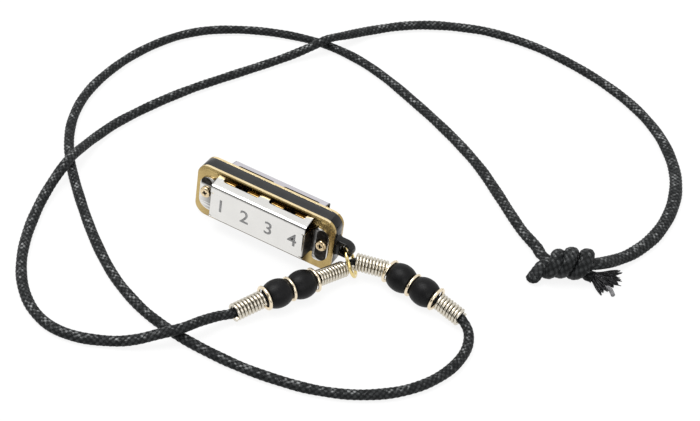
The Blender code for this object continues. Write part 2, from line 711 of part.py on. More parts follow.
def make_link_ring(parts, material):
    """A wire ring whose two ends butt together low on its far side."""
    centre, down, across = link_frame()
    opening = LINK_BUTT / LINK_RADIUS
    start = math.radians(70.0)
    points = []
    for index in range(LINK_POINTS + 1):
        angle = start + (2 * math.pi - opening) * index / LINK_POINTS
        points.append((down * math.cos(angle) + across * math.sin(angle)) * LINK_RADIUS)
    ring = tube("link_ring", points, LINK_WIRE / 2, 2, parts, material)
    ring.location = centre
    return ring


def along(side):
    angle = STRUNG[side]["heading"]
    return Vector((math.cos(angle), math.sin(angle), 0.0))


def bead_centre(side, index):
    place = STRUNG[side]["bead"].to_3d() + along(side) * SPACER_PITCH * index
    place.z = BEAD_DIAMETER / 2
    return place


def spring_ends(side, kind):
    """Where a spring's axis starts at its spacer ring, and where it ends."""
    reach = SPACER_WIRE / 2 + THREAD_GAP
    if kind == "inner":
        start = bead_centre(side, -0.5) - along(side) * reach
        return start, STRUNG[side]["ring_end"].copy()
    start = bead_centre(side, 1.5) + along(side) * reach
    end = STRUNG[side]["far_end"].to_3d()
    end.z = SPRING_DIAMETER / 2
    return start, end


def turn_to(direction):
    return direction.to_track_quat("Z", "Y").to_matrix().to_4x4()


def make_beads(parts, black, gold):
    radius = BEAD_DIAMETER / 2
    bore = (CORD_DIAMETER + BEAD_BORE_CLEARANCE) / 2
    half = BEAD_LENGTH / 2
    profile = []
    for index in range(BEAD_RINGS + 1):
        height = half * (1 - 2 * index / BEAD_RINGS)
        profile.append((radius * math.sqrt(1 - (height / BEAD_SWELL) ** 2), height))
    profile += [(bore, -half), (bore, half)]
    for side in STRUNG:
        for index in range(2):
            bead = turned(f"bead_{side}_{index + 1}", profile, BEAD_STEPS, parts, black, closed=True)
            bead.matrix_world = Matrix.Translation(bead_centre(side, index)) @ turn_to(along(side))
        for index in range(3):
            make_spacer(f"spacer_ring_{side}_{index + 1}", side, index - 0.5, parts, gold)


def make_spacer(name, side, place, parts, material):
    bpy.ops.mesh.primitive_torus_add(major_segments=SPACER_STEPS, minor_segments=SPACER_SIDES,
                                     major_radius=(SPACER_OUTER_DIAMETER - SPACER_WIRE) / 2,
                                     minor_radius=SPACER_WIRE / 2)
    ring = bpy.context.object
    ring.name = name
    ring.data.name = name
    for collection in list(ring.users_collection):
        collection.objects.unlink(ring)
    parts.objects.link(ring)
    ring.data.materials.append(material)
    ring.data.shade_smooth()
    ring.matrix_world = Matrix.Translation(bead_centre(side, place)) @ turn_to(along(side))
    return ring


def make_spring(name, side, kind, parts, material):
    start, end = spring_ends(side, kind)
    axis = end - start
    length = axis.length - SPRING_WIRE
    radius = (SPRING_DIAMETER - SPRING_WIRE) / 2
    turns = math.floor(length / SPRING_PITCH)
    count = turns * SPRING_POINTS
    points = []
    for index in range(count + 1):
        angle = 2 * math.pi * index / SPRING_POINTS
        points.append(Vector((radius * math.cos(angle), radius * math.sin(angle),
                              SPRING_WIRE / 2 + length * index / count)))
    spring = tube(name, points, SPRING_WIRE / 2, 1, parts, material)
    spring.matrix_world = Matrix.Translation(start) @ turn_to(axis)
    print(f"{name}: {axis.length / MM:.2f} mm long, {turns} turns, least gap between them "
          f"{least_gap(points, SPRING_POINTS, SPRING_WIRE) / MM:.3f} mm")
    return spring


# Cord, knot and frayed tail

def lay_route(route):
    """Route points as positions: the height counts cords on top of one another."""
    return [Vector((x * MM, y * MM, CORD_RADIUS + step * CORD_STEP)) for x, y, step in route]


def inside_spring(side, kind, share):
    start, end = spring_ends(side, kind)
    return start.lerp(end, share)


def knot_frame():
    along_knot = (KNOT_RIGHT - KNOT_LEFT).normalized()
    front = Vector((along_knot.y, -along_knot.x, 0.0))
    lift = Vector((0.0, 0.0, CORD_RADIUS + WRAP_RADIUS))
    return KNOT_LEFT + lift, KNOT_RIGHT + lift, along_knot, front


def knot_points():
    """The right strand's wraps about the left strand, from under it back to under it."""
    left, right, along_knot, front = knot_frame()
    up = Vector((0.0, 0.0, 1.0))
    # the wraps lean along the knot from its lower front side to its upper back side
    slope = up * math.cos(KNOT_LEAN_TURN) - front * math.sin(KNOT_LEAN_TURN)
    first = CORD_RADIUS
    pitch = ((right - left).length - 2 * first) / KNOT_TURNS
    wraps = []
    for index in range(KNOT_TURNS * KNOT_POINTS + 1):
        angle = 2 * math.pi * index / KNOT_POINTS
        across = (front * math.sin(angle) - up * math.cos(angle)) * WRAP_RADIUS
        lean = across.dot(slope) * KNOT_LEAN
        wraps.append(left + along_knot * (first + pitch * index / KNOT_POINTS + lean) + across)
    lead_in = wraps[0] - front * CORD_DIAMETER * 1.15 + along_knot * CORD_RADIUS * 0.9
    lead_start = lead_in - front * CORD_DIAMETER * 0.6
    lead_mid = wraps[0] - front * CORD_DIAMETER * 0.5 + along_knot * CORD_RADIUS * 0.2
    lead_out = wraps[-1] + front * CORD_DIAMETER * 0.6 + along_knot * CORD_RADIUS * 0.45
    tail_root = wraps[-1] + front * CORD_DIAMETER * 1.0 + along_knot * CORD_RADIUS * 1.45
    return [lead_start, lead_in, lead_mid], wraps, [lead_out, tail_root]


def make_cord(parts, helpers, cotton):
    left_end, right_end, along_knot, front = knot_frame()
    lead_in, wraps, lead_out = knot_points()

    core = [inside_spring("left", "outer", 0.45)]
    core += [inside_spring("left", "outer", 0.2), bead_centre("left", 1.5), bead_centre("left", 1)]
    core += [bead_centre("left", 0), bead_centre("left", -0.5)]
    core += [inside_spring("left", "inner", 0.15), inside_spring("left", "inner", 0.55)]
    core += [inside_spring("left", "inner", 0.9), CORD_BEND, inside_spring("right", "inner", 0.9)]
    core += [inside_spring("right", "inner", 0.55), inside_spring("right", "inner", 0.15)]
    core += [bead_centre("right", -0.5), bead_centre("right", 0), bead_centre("right", 1)]
    core += [bead_centre("right", 1.5)]
    core += [inside_spring("right", "outer", 0.2), inside_spring("right", "outer", 0.45)]
    core_path = smooth_path(core)

    gap_left = JOINT_GAP / (spring_ends("left", "outer")[1] - spring_ends("left", "outer")[0]).length
    left = [inside_spring("left", "outer", 0.45 + gap_left), inside_spring("left", "outer", 0.95)]
    left += lay_route(LEFT_ROUTE)
    left += [right_end + along_knot * CORD_RADIUS, right_end.lerp(left_end, 0.25), right_end.lerp(left_end, 0.75)]
    left += [left_end - along_knot * CORD_RADIUS * 0.8]
    left += lay_route(LEFT_TAIL)
    left_path = smooth_path(left)

    gap_right = JOINT_GAP / (spring_ends("right", "outer")[1] - spring_ends("right", "outer")[0]).length
    right = [inside_spring("right", "outer", 0.45 + gap_right), inside_spring("right", "outer", 0.95)]
    right += lay_route(RIGHT_ROUTE)
    heading = (lead_in[1] - lead_in[0]).normalized()
    right += [lead_in[0] - heading * JOINT_GAP]
    right_path = smooth_path(right)

    total = 0
    strands = (("cord_core", core_path, CORE_TOLERANCE), ("cord_left", left_path, STRAND_TOLERANCE),
               ("cord_right", right_path, STRAND_TOLERANCE))
    for name, path, tolerance in strands:
        points = thin_path(path, tolerance)
        total += len(points)
        tube(name, points, CORD_RADIUS, 2, parts, cotton)
        print(f"{name}: {path_length(path) / MM:.1f} mm long, {len(points)} points")
    print(f"cord tubes: {total} points in all")

    knot_path = lead_in + wraps + lead_out
    tube("knot", knot_path, CORD_RADIUS, 1, parts, cotton)
    print(f"knot: {path_length(knot_path) / MM:.1f} mm of cord, least gap between wraps "
          f"{least_gap(wraps, KNOT_POINTS, CORD_DIAMETER) / MM:.3f} mm")
    make_frayed_tail(lead_out, parts, helpers, cotton)


def make_frayed_tail(lead_out, parts, helpers, cotton):
    """The cord's open end: its braid spreads into points round the pale inner yarn."""
    root = lead_out[-1]
    heading = (lead_out[-1] - lead_out[-2]).normalized()
    work = bmesh.new()
    bmesh.ops.create_cone(work, cap_ends=True, segments=2 * TAIL_POINTS, radius1=CORD_RADIUS,
                          radius2=TAIL_FLARE, depth=TAIL_LENGTH)
    bmesh.ops.translate(work, verts=work.verts, vec=(0.0, 0.0, TAIL_LENGTH / 2 + JOINT_GAP))
    # every other vertex of the wide end is drawn out to a point, and the end is flat
    far = [vertex for vertex in work.verts if vertex.co.z > TAIL_LENGTH / 2]
    far.sort(key=lambda vertex: math.atan2(vertex.co.y, vertex.co.x))
    for index, vertex in enumerate(far):
        vertex.co.y *= CORD_RADIUS / TAIL_FLARE
        if index % 2:
            vertex.co.z += TAIL_LENGTH * (0.25 + 0.12 * (index % 3))
        else:
            vertex.co.x *= 0.8
            vertex.co.y *= 0.8
    mesh = bpy.data.meshes.new("frayed_tail")
    work.to_mesh(mesh)
    work.free()
    tail = add_object("frayed_tail", mesh, parts, cotton)
    side = heading.cross(Vector((0.0, 0.0, 1.0))).normalized()
    up = side.cross(heading)
    basis = Matrix((side, up, heading)).transposed().to_4x4()
    tail.matrix_world = Matrix.Translation(root) @ basis
    core = add_object("yarn_core", cylinder_mesh("yarn_core", TAIL_CORE_RADIUS,
                                                 TAIL_LENGTH / 2 + TAIL_CORE_REACH, 10), helpers)
    middle = TAIL_LENGTH + JOINT_GAP + TAIL_CORE_REACH / 2 - TAIL_LENGTH / 4
    core.matrix_world = Matrix.Translation(root) @ basis @ Matrix.Translation((0.3 * MM, 0.0, middle))
    join(tail, as_helper(core))
    return tail


# The whole necklace

def main():
    clear_scene()
    parts = make_collection("mini_harmonica_necklace")
    helpers = make_collection("helper_shapes")

    black_plastic = make_material("black_plastic", (0.035, 0.035, 0.037), 0.4, 0.0)
    brass = make_material("plate_brass", (0.78, 0.57, 0.28), 0.3, 1.0)
    reed_brass = make_material("reed_brass", (0.86, 0.62, 0.25), 0.35, 1.0)
    nickel = make_material("cover_nickel", (0.83, 0.83, 0.85), 0.12, 1.0)
    screw_brass = make_material("screw_brass", (0.75, 0.62, 0.4), 0.25, 1.0)
    yellow_gold = make_material("link_gold", (0.86, 0.7, 0.34), 0.2, 1.0)
    pink_gold = make_material("spacer_gold", (0.86, 0.66, 0.48), 0.2, 1.0)
    spring_nickel = make_material("spring_nickel", (0.78, 0.76, 0.72), 0.2, 1.0)
    bead_black = make_material("bead_black", (0.015, 0.015, 0.016), 0.5, 0.0)
    cotton = make_material("waxed_cotton", (0.03, 0.032, 0.034), 0.55, 0.0)

    comb = make_comb(parts, helpers, black_plastic)
    smooth_round(comb)
    make_reeds(parts, helpers, brass, reed_brass)
    make_cover("cover_front", -1, FRONT_SLOT_DEPTH, parts, helpers, nickel)
    make_cover("cover_rear", 1, REAR_SLOT_DEPTH, parts, helpers, nickel)
    for face, side in (("front", -1), ("rear", 1)):
        for end, centre in zip(("left", "right"), screw_centres()):
            make_screw(f"cover_screw_{face}_{end}", side, centre, parts, helpers, screw_brass)

    make_link_ring(parts, yellow_gold)
    make_beads(parts, bead_black, pink_gold)
    for side in STRUNG:
        for kind in ("inner", "outer"):
            make_spring(f"spring_{side}_{kind}", side, kind, parts, spring_nickel)
    make_cord(parts, helpers, cotton)


main()
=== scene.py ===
import random
from math import acos, copysign, cos, pi, radians, sin, tan

import bmesh
import bpy
import numpy as np
from mathutils import Matrix, Vector


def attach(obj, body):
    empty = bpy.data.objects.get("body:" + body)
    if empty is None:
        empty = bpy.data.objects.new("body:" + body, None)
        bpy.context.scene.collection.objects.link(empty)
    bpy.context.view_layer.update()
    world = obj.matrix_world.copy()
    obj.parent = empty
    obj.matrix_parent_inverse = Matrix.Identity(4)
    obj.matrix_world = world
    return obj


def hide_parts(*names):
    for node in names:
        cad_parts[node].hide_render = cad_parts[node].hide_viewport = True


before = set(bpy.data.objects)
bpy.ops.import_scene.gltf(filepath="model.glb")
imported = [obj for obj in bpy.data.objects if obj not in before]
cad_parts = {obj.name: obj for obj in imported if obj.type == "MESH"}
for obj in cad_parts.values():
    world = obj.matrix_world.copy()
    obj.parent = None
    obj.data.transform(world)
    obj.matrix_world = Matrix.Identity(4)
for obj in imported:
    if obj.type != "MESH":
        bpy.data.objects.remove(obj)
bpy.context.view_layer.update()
mm = 0.001
upward = Vector((0, 0, 1))
random.seed(35)

# camera: the photograph's viewpoint, in millimetres and degrees
cameraView = {
    "place": (136.67, -279.58, 272.7), "azimuth": -22.794, "elevation": 40.061, "roll": 9.369,
    "lens": 95.143, "sensor": 36, "clipStart": 0.005,
}


def setUpCamera():
    view = cameraView
    turn, tilt, roll = (radians(view[key]) for key in ("azimuth", "elevation", "roll"))
    ahead = Vector((sin(turn) * cos(tilt), cos(turn) * cos(tilt), -sin(tilt)))
    right = Vector((cos(turn), -sin(turn), 0))
    up = right.cross(ahead)
    rightRolled = right * cos(roll) + up * sin(roll)
    upRolled = up * cos(roll) - right * sin(roll)
    bpy.ops.object.camera_add()
    camera = bpy.context.object
    camera.name = "photoCamera"
    placed = Matrix((rightRolled, upRolled, -ahead)).transposed().to_4x4()
    placed.translation = Vector(view["place"]) * mm
    camera.matrix_world = placed
    camera.data.lens = view["lens"]
    camera.data.sensor_width = view["sensor"]
    camera.data.clip_start = view["clipStart"]
    bpy.context.scene.camera = camera
    print("camera set")


setUpCamera()


# small helpers; lengths that go into them are in millimetres
standUp = Matrix.Rotation(pi / 2, 4, "X")
alongY = (pi / 2, 0, 0)
tolerance = {"merge": 0.0004, "bisect": 0.0002, "same": 0.001, "side": 0.01}


def pick(piece):
    bpy.ops.object.select_all(action="DESELECT")
    piece.select_set(True)
    bpy.context.view_layer.objects.active = piece
    return piece


def settle(piece):
    # the place goes into the mesh, and the object stays at the origin
    pick(piece)
    bpy.ops.object.transform_apply(location=True, rotation=True, scale=True)
    return piece


def placeBy(piece, matrix):
    piece.matrix_world = matrix
    bpy.context.view_layer.update()
    return settle(piece)


def addPiece(name, data):
    piece = bpy.data.objects.new(name, data)
    bpy.context.scene.collection.objects.link(piece)
    return pick(piece)


def removePiece(piece):
    bpy.data.objects.remove(piece, do_unlink=True)


def inEditMode(piece, step):
    # runs a mesh operator on the whole piece
    pick(piece)
    bpy.ops.object.mode_set(mode="EDIT")
    bpy.ops.mesh.select_all(action="SELECT")
    step()
    bpy.ops.object.mode_set(mode="OBJECT")
    return piece


def faceOutward():
    bpy.ops.mesh.normals_make_consistent(inside=False)


def mergeDoubles(piece, outward=True):
    inEditMode(piece, lambda: bpy.ops.mesh.remove_doubles(threshold=tolerance["merge"] * mm))
    return inEditMode(piece, faceOutward) if outward else piece


def applyModifiers(piece):
    pick(piece)
    for modifier in list(piece.modifiers):
        bpy.ops.object.modifier_apply(modifier=modifier.name)
    return piece


def smoothBy(piece, angle):
    pick(piece)
    bpy.ops.object.shade_smooth_by_angle(angle=radians(angle))
    return piece


def combine(piece, operation, others):
    # a boolean with the others, which are used up
    for other in others:
        change = piece.modifiers.new(operation, "BOOLEAN")
        change.operation = operation
        change.solver = "EXACT"
        change.object = other
    applyModifiers(piece)
    for other in others:
        removePiece(other)
    return piece


def breakEdges(piece, width, segments=2, angle=50):
    bevel = piece.modifiers.new("broken edges", "BEVEL")
    bevel.width = width * mm
    bevel.segments = segments
    bevel.limit_method = "ANGLE"
    bevel.angle_limit = radians(angle)
    bevel.use_clamp_overlap = True
    return applyModifiers(piece)


def bevelWhere(piece, test, width, segments):
    # bevels the edges whose two ends pass the test
    pick(piece)
    bpy.ops.object.mode_set(mode="EDIT")
    bpy.ops.mesh.select_all(action="DESELECT")
    bpy.ops.mesh.select_mode(type="EDGE")
    shape = bmesh.from_edit_mesh(piece.data)
    for edge in shape.edges:
        edge.select = test(edge.verts[0].co / mm, edge.verts[1].co / mm)
    shape.select_flush_mode()
    bmesh.update_edit_mesh(piece.data)
    bpy.ops.mesh.bevel(offset=width * mm, segments=segments, affect="EDGES")
    bpy.ops.object.mode_set(mode="OBJECT")
    return piece


def sameXZ(a, b):
    return abs(a.x - b.x) < tolerance["same"] and abs(a.z - b.z) < tolerance["same"]


def addBlock(name, low, high):
    low, high = Vector(low) * mm, Vector(high) * mm
    bpy.ops.mesh.primitive_cube_add(size=1, location=(low + high) / 2, scale=high - low)
    block = bpy.context.object
    block.name = name
    return settle(block)


def addRod(name, radius, length, place=(0, 0, 0), turn=(0, 0, 0), sides=48):
    bpy.ops.mesh.primitive_cylinder_add(vertices=sides, radius=radius * mm, depth=length * mm,
                                        location=Vector(place) * mm, rotation=turn)
    rod = bpy.context.object
    rod.name = name
    return settle(rod)


def cornerArc(before, corner, after, radius, steps):
    # the rounding of a flat corner between its two neighbours
    corner = Vector(corner[:2])
    back = (Vector(before[:2]) - corner).normalized()
    ahead = (Vector(after[:2]) - corner).normalized()
    half = back.angle(ahead) / 2
    start = corner + back * radius / tan(half)
    end = corner + ahead * radius / tan(half)
    centre = corner + (back + ahead).normalized() * radius / sin(half)
    turn = (start - centre).angle_signed(end - centre)
    return [tuple(centre + Matrix.Rotation(-turn * step / steps, 2) @ (start - centre))
            for step in range(steps + 1)]


def roundedOutline(corners, steps):
    # a closed outline from corners (x, y, radius)
    points = []
    for index, corner in enumerate(corners):
        after = corners[(index + 1) % len(corners)]
        radius = corner[2]
        points += cornerArc(corners[index - 1], corner, after, radius, steps) if radius else [corner[:2]]
    return points


def arcPoints(centre, radius, start, end, steps):
    angles = [start + (end - start) * step / steps for step in range(steps + 1)]
    return [(centre[0] + radius * cos(angle), centre[1] + radius * sin(angle)) for angle in angles]


def circleOutline(centre, radius, steps=32):
    return arcPoints(centre, radius, 0, 2 * pi, steps)[:-1]


def runLengths(points):
    return np.concatenate(([0], np.cumsum(np.linalg.norm(np.diff(points, axis=0), axis=1))))


def curvePiece(name, loops, closed, shares=(), **settings):
    # a mesh made from a curve; shares are the spline's radius at its points
    curve = bpy.data.curves.new(name, "CURVE")
    for key, value in settings.items():
        setattr(curve, key, value)
    for loop in loops:
        spline = curve.splines.new("POLY")
        spline.points.add(len(loop) - 1)
        spline.use_cyclic_u = closed
        for spot, point in zip(spline.points, loop):
            spot.co = (*Vector(point).to_3d(), 1)
        for spot, share in zip(spline.points, shares):
            spot.radius = share
    addPiece(name, curve)
    bpy.ops.object.convert(target="MESH")
    return bpy.context.object


def shrinkToScale(piece):
    # made at millimetre size, kept in metres
    piece.scale = (mm, mm, mm)
    return mergeDoubles(settle(piece))


def flatPiece(name, loops, thickness):
    # a flat outline with its holes
    return shrinkToScale(curvePiece(name, loops, True, dimensions="2D", fill_mode="BOTH",
                                    extrude=thickness / 2))


def wirePiece(name, points, radius, resolution, shares=()):
    return mergeDoubles(curvePiece(name, [[point * mm for point in points]], False, shares,
                                   dimensions="3D", bevel_depth=radius * mm,
                                   bevel_resolution=resolution, use_fill_caps=True))


def paint(piece, *finishes):
    piece.data.materials.clear()
    for finish in finishes:
        piece.data.materials.append(finish)
    return piece


def hand(piece, body, slotName, *nodes):
    # the piece rides on its body and stands for its CAD nodes
    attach(piece, body)
    if nodes:
        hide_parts(*nodes)
    return piece


# finishes: a skin is a material or the world, and its nodes take numbers, colours or sockets
def feed(skin, value, socket):
    if isinstance(value, bpy.types.NodeSocket):
        skin.node_tree.links.new(value, socket)
    else:
        socket.default_value = value


def addNode(skin, kind, inputs=None, **settings):
    node = skin.node_tree.nodes.new("ShaderNode" + kind)
    for key, value in settings.items():
        setattr(node, key, value)
    for key, value in (inputs or {}).items():
        feed(skin, value, node.inputs[key])
    return node


def newSkin(name):
    skin = bpy.data.materials.new(name)
    skin.use_nodes = True
    return skin


def dress(skin, color, rough, bump=None, metallic=0, shine=0.5):
    # bump holds its height, its depth in millimetres and its strength
    shader = skin.node_tree.nodes["Principled BSDF"]
    values = {"Base Color": color, "Roughness": rough, "Metallic": metallic, "Specular IOR Level": shine}
    if bump:
        height, depth, strength = bump
        raised = addNode(skin, "Bump", {"Height": height, "Distance": depth * mm, "Strength": strength})
        values["Normal"] = raised.outputs["Normal"]
    for key, value in values.items():
        feed(skin, value, shader.inputs[key])
    return skin


def objectPlace(skin, stretch=(1, 1, 1)):
    where = addNode(skin, "TexCoord").outputs["Object"]
    return addNode(skin, "Mapping", {"Vector": where, "Scale": stretch}).outputs["Vector"]


def placeParts(skin):
    # x, y and z in millimetres
    return addNode(skin, "SeparateXYZ", {"Vector": objectPlace(skin, (1 / mm,) * 3)}).outputs


def noise(skin, vector, scale, detail=3.0, roughness=0.55):
    values = {"Vector": vector, "Scale": scale, "Detail": detail, "Roughness": roughness}
    return addNode(skin, "TexNoise", values).outputs["Fac"]


def attribute(skin, name):
    return addNode(skin, "Attribute", attribute_name=name).outputs["Fac"]


def ramp(skin, value, *stops):
    node = addNode(skin, "ValToRGB", {"Fac": value})
    elements = node.color_ramp.elements
    while len(elements) < len(stops):
        elements.new(0.5)
    for element, (place, color) in zip(elements, stops):
        element.position = place
        element.color = (*color, 1)
    return node.outputs["Color"]


def spread(skin, value, fromLow, fromHigh, toLow, toHigh):
    values = {"Value": value, "From Min": fromLow, "From Max": fromHigh, "To Min": toLow, "To Max": toHigh}
    return addNode(skin, "MapRange", values).outputs["Result"]


def calculate(skin, operation, a, b=0.0):
    return addNode(skin, "Math", {0: a, 1: b}, operation=operation).outputs["Value"]


def times(skin, product, *others):
    for other in others:
        product = calculate(skin, "MULTIPLY", product, other)
    return product


def facingShare(skin, direction, wanted):
    return addNode(skin, "VectorMath", {0: direction, 1: wanted}, operation="DOT_PRODUCT").outputs["Value"]


def mixColors(skin, share, first, second):
    values = {"Factor": share, "A": first, "B": (*second, 1)}
    return addNode(skin, "Mix", values, data_type="RGBA").outputs["Result"]


def toned(color, share):
    return tuple(value * share for value in color)


def makeCombFinish(name, roughLow, roughHigh, tone, shine):
    skin = newSkin(name)
    place = objectPlace(skin)
    cloud = noise(skin, place, 260, 4)
    color = ramp(skin, cloud, (0.3, (tone * 0.8,) * 3), (0.7, (tone * 1.15,) * 3))
    rough = spread(skin, cloud, 0.3, 0.7, roughLow, roughHigh)
    return dress(skin, color, rough, (noise(skin, place, 5200), 0.004, 0.5), shine=shine)


# painted shade on the brass that the covers hide: where it fades in from the bright ends and top, and its
# brown
coverShadeOnBrass = {"endBright": 12.6, "endDark": 11.2, "topBright": 13.75, "topDark": 13.4,
           "shadeBrown": (0.09, 0.055, 0.015)}


def makeBrassFinish(name, light, dark, roughLow, roughHigh, streak=(1, 1, 14), paintCoverShade=False):
    # rolled brass: long streaks and a slow colour drift
    skin = newSkin(name)
    streaks = noise(skin, objectPlace(skin, streak), 900, 4)
    drift = noise(skin, objectPlace(skin), 140)
    mixed = calculate(skin, "ADD", times(skin, streaks, 0.35), times(skin, drift, 0.65))
    color = ramp(skin, mixed, (0.36, dark), (0.6, light))
    if paintCoverShade:
        # painted shade: under the covers the brass is painted brown, fading in from its ends and top
        x, y, z = placeParts(skin)
        inEnds = spread(skin, calculate(skin, "ABSOLUTE", x), coverShadeOnBrass["endBright"], coverShadeOnBrass["endDark"], 0, 1)
        belowTop = spread(skin, z, coverShadeOnBrass["topBright"], coverShadeOnBrass["topDark"], 0, 1)
        color = mixColors(skin, times(skin, inEnds, belowTop), color, coverShadeOnBrass["shadeBrown"])
    rough = spread(skin, mixed, 0.35, 0.65, roughHigh, roughLow)
    return dress(skin, color, rough, (streaks, 0.003, 0.4), metallic=1)


def platingNoise(skin):
    # hair scratches and a slow cloud
    return noise(skin, objectPlace(skin, (1, 6, 9)), 2400, 5, 0.7), noise(skin, objectPlace(skin), 190)


def makePlateFinish(name, color, roughLow, roughHigh):
    skin = newSkin(name)
    hairs, cloud = platingNoise(skin)
    drift = ramp(skin, cloud, (0.3, toned(color, 0.93)), (0.7, color))
    rough = spread(skin, cloud, 0.3, 0.7, roughLow, roughHigh)
    return dress(skin, drift, rough, (hairs, 0.0015, 0.35), metallic=1)


# the painted dark patch in the middle of a front flange: its centre, half sizes and corner radius
flangeDarkPatch = {"x": 14.8, "z": 6.85, "halfX": 1.5, "halfZ": 4.25, "radius": 1.4}


def flangeShade(skin):
    # painted dark reflection inside each front flange's bright rim; on the left one it is painted only at its
    # top
    x, y, z = placeParts(skin)
    squares = []
    for value, centre, half in ((calculate(skin, "ABSOLUTE", x), flangeDarkPatch["x"], flangeDarkPatch["halfX"]),
                                (z, flangeDarkPatch["z"], flangeDarkPatch["halfZ"])):
        away = calculate(skin, "ABSOLUTE", calculate(skin, "SUBTRACT", value, centre))
        away = calculate(skin, "MAXIMUM", calculate(skin, "SUBTRACT", away, half - flangeDarkPatch["radius"]))
        squares.append(times(skin, away, away))
    away = calculate(skin, "SQRT", calculate(skin, "ADD", *squares))
    inside = spread(skin, away, flangeDarkPatch["radius"] + 0.06, flangeDarkPatch["radius"] - 0.12, 0, 1)
    front = spread(skin, y, -1.5, -2, 0, 1)
    rightOrTop = calculate(skin, "MAXIMUM", spread(skin, x, 12, 13, 0, 1), spread(skin, z, 8.6, 9.3, 0, 1))
    return times(skin, inside, front, rightOrTop)


def makeCoverFinish(name, tone):
    # bright nickel with hair scratches; a mesh attribute marks the end walls, which, with the middles of the
    # front flanges, are painted near black and rougher as a painted dark reflection
    skin = newSkin(name)
    hairs, cloud = platingNoise(skin)
    # painted dark reflection, broken up a little by a slow noise, in a near-black colour
    darkPatchiness = noise(skin, objectPlace(skin), 1100, 4)
    paintedDark = calculate(skin, "MAXIMUM", attribute(skin, "paintedReflection"), flangeShade(skin))
    paintedDark = times(skin, paintedDark, spread(skin, darkPatchiness, 0.3, 0.6, 0.95, 1.0))
    bright = ramp(skin, cloud, (0.3, toned(tone, 0.94)), (0.7, tone))
    color = mixColors(skin, paintedDark, bright, (0.014, 0.012, 0.01))
    rough = calculate(skin, "ADD", spread(skin, cloud, 0.3, 0.7, 0.1, 0.18), times(skin, paintedDark, 0.2))
    return dress(skin, color, rough, (hairs, 0.0015, 0.35), metallic=1)


def makeBeadFinish():
    skin = newSkin("beadMatteBlack")
    place = objectPlace(skin)
    grain = noise(skin, place, 3600, 4, 0.65)
    cloud = noise(skin, place, 420)
    color = ramp(skin, cloud, (0.3, (0.003, 0.003, 0.0033)), (0.7, (0.007, 0.007, 0.0073)))
    return dress(skin, color, spread(skin, grain, 0.3, 0.7, 0.34, 0.5), (grain, 0.012, 0.5), shine=0.13)


def makeCordFinish(name, low, high, glintColor):
    # waxed braid: rise and yarn come with the mesh; the body is painted darker in the grooves and lighter on
    # the crowns, painted shade and light, with some tone from yarn to yarn; the specks are painted glints on
    # the crowns that face up
    skin = newSkin(name)
    rise, yarn, across = (attribute(skin, label) for label in ("rise", "yarn", "across"))
    specks = noise(skin, objectPlace(skin), 800, 3, 0.6)
    depth = calculate(skin, "ADD", times(skin, rise, 0.75), times(skin, yarn, 0.25))
    body = ramp(skin, depth, (0.15, toned(low, 0.35)), (0.6, low), (1.0, high))
    crest = facingShare(skin, addNode(skin, "NewGeometry").outputs["Normal"], (-0.1, -0.2, 0.975))
    # painted glints: the specks show only on the crowns that face up
    crown = times(skin, spread(skin, specks, 0.49, 0.66, 0, 1), spread(skin, rise, 0.5, 0.95, 0, 1),
                  spread(skin, crest, 0.84, 0.985, 0.05, 1))
    fibres = calculate(skin, "SINE", times(skin, across, 11))
    height = calculate(skin, "ADD", times(skin, fibres, 0.5), specks)
    return dress(skin, mixColors(skin, crown, body, glintColor), spread(skin, specks, 0.35, 0.7, 0.55, 0.28),
                 (height, 0.03, 0.55), shine=0.12)


def makeYarnFinish(name, low, high, rough, glint):
    skin = newSkin(name)
    fibres = noise(skin, objectPlace(skin), 2600, 4, 0.65)
    color = ramp(skin, fibres, (0.35, low), (0.6, high), (0.72, glint))
    return dress(skin, color, rough, (fibres, 0.05, 0.6), shine=0.14)


def makePrintFinish():
    skin = newSkin("numberPrint")
    speckle = noise(skin, objectPlace(skin), 3000)
    color = ramp(skin, speckle, (0.3, (0.16, 0.16, 0.16)), (0.7, (0.27, 0.27, 0.27)))
    return dress(skin, color, 0.55, (speckle, 0.003, 0.4))


combSatin = makeCombFinish("combSatinBlack", 0.3, 0.42, 0.016, 0.32)
lugGloss = makeCombFinish("lugGlossBlack", 0.1, 0.18, 0.003, 0.3)
plateBrass = makeBrassFinish("plateBrass", (0.56, 0.42, 0.18), (0.34, 0.23, 0.085), 0.2, 0.34, paintCoverShade=True)
paintedHighlightBrass = makeBrassFinish("paintedHighlightBrass", (0.96, 0.8, 0.5), (0.86, 0.68, 0.38), 0.14, 0.24)
reedBrass = makeBrassFinish("reedBrass", (0.86, 0.62, 0.25), (0.66, 0.42, 0.14), 0.2, 0.36, (6, 6, 1))
recessPaintedShade = makeBrassFinish("recessPaintedShade", (0.06, 0.045, 0.03), (0.02, 0.015, 0.01), 0.4, 0.6)
screwBrass = makeBrassFinish("screwBrass", (0.8, 0.66, 0.44), (0.5, 0.36, 0.19), 0.14, 0.28)
coverNickel = makeCoverFinish("coverNickel", (0.78, 0.77, 0.745))
# painted shade: the rear cover is the same nickel as the front one, toned darker
rearNickelShaded = makeCoverFinish("coverNickelRearShaded", (0.62, 0.6, 0.64))
springNickel = makePlateFinish("springNickel", (0.66, 0.615, 0.525), 0.1, 0.18)
linkGold = makePlateFinish("linkGold", (0.8, 0.64, 0.28), 0.08, 0.16)
spacerGold = makePlateFinish("spacerGold", (0.86, 0.74, 0.55), 0.08, 0.16)
beadBlack = makeBeadFinish()
cordWaxed = makeCordFinish("cordWaxedBlack", (0.006, 0.0068, 0.0072), (0.03, 0.032, 0.033),
                           (0.27, 0.278, 0.278))
yarnBlack = makeYarnFinish("yarnBlack", (0.002, 0.002, 0.0023), (0.012, 0.0124, 0.0135), 0.3,
                           (0.2, 0.2, 0.21))
yarnPale = makeYarnFinish("yarnPale", (0.09, 0.09, 0.093), (0.22, 0.22, 0.225), 0.75, (0.26, 0.26, 0.265))
numberPrint = makePrintFinish()
print("finishes made")


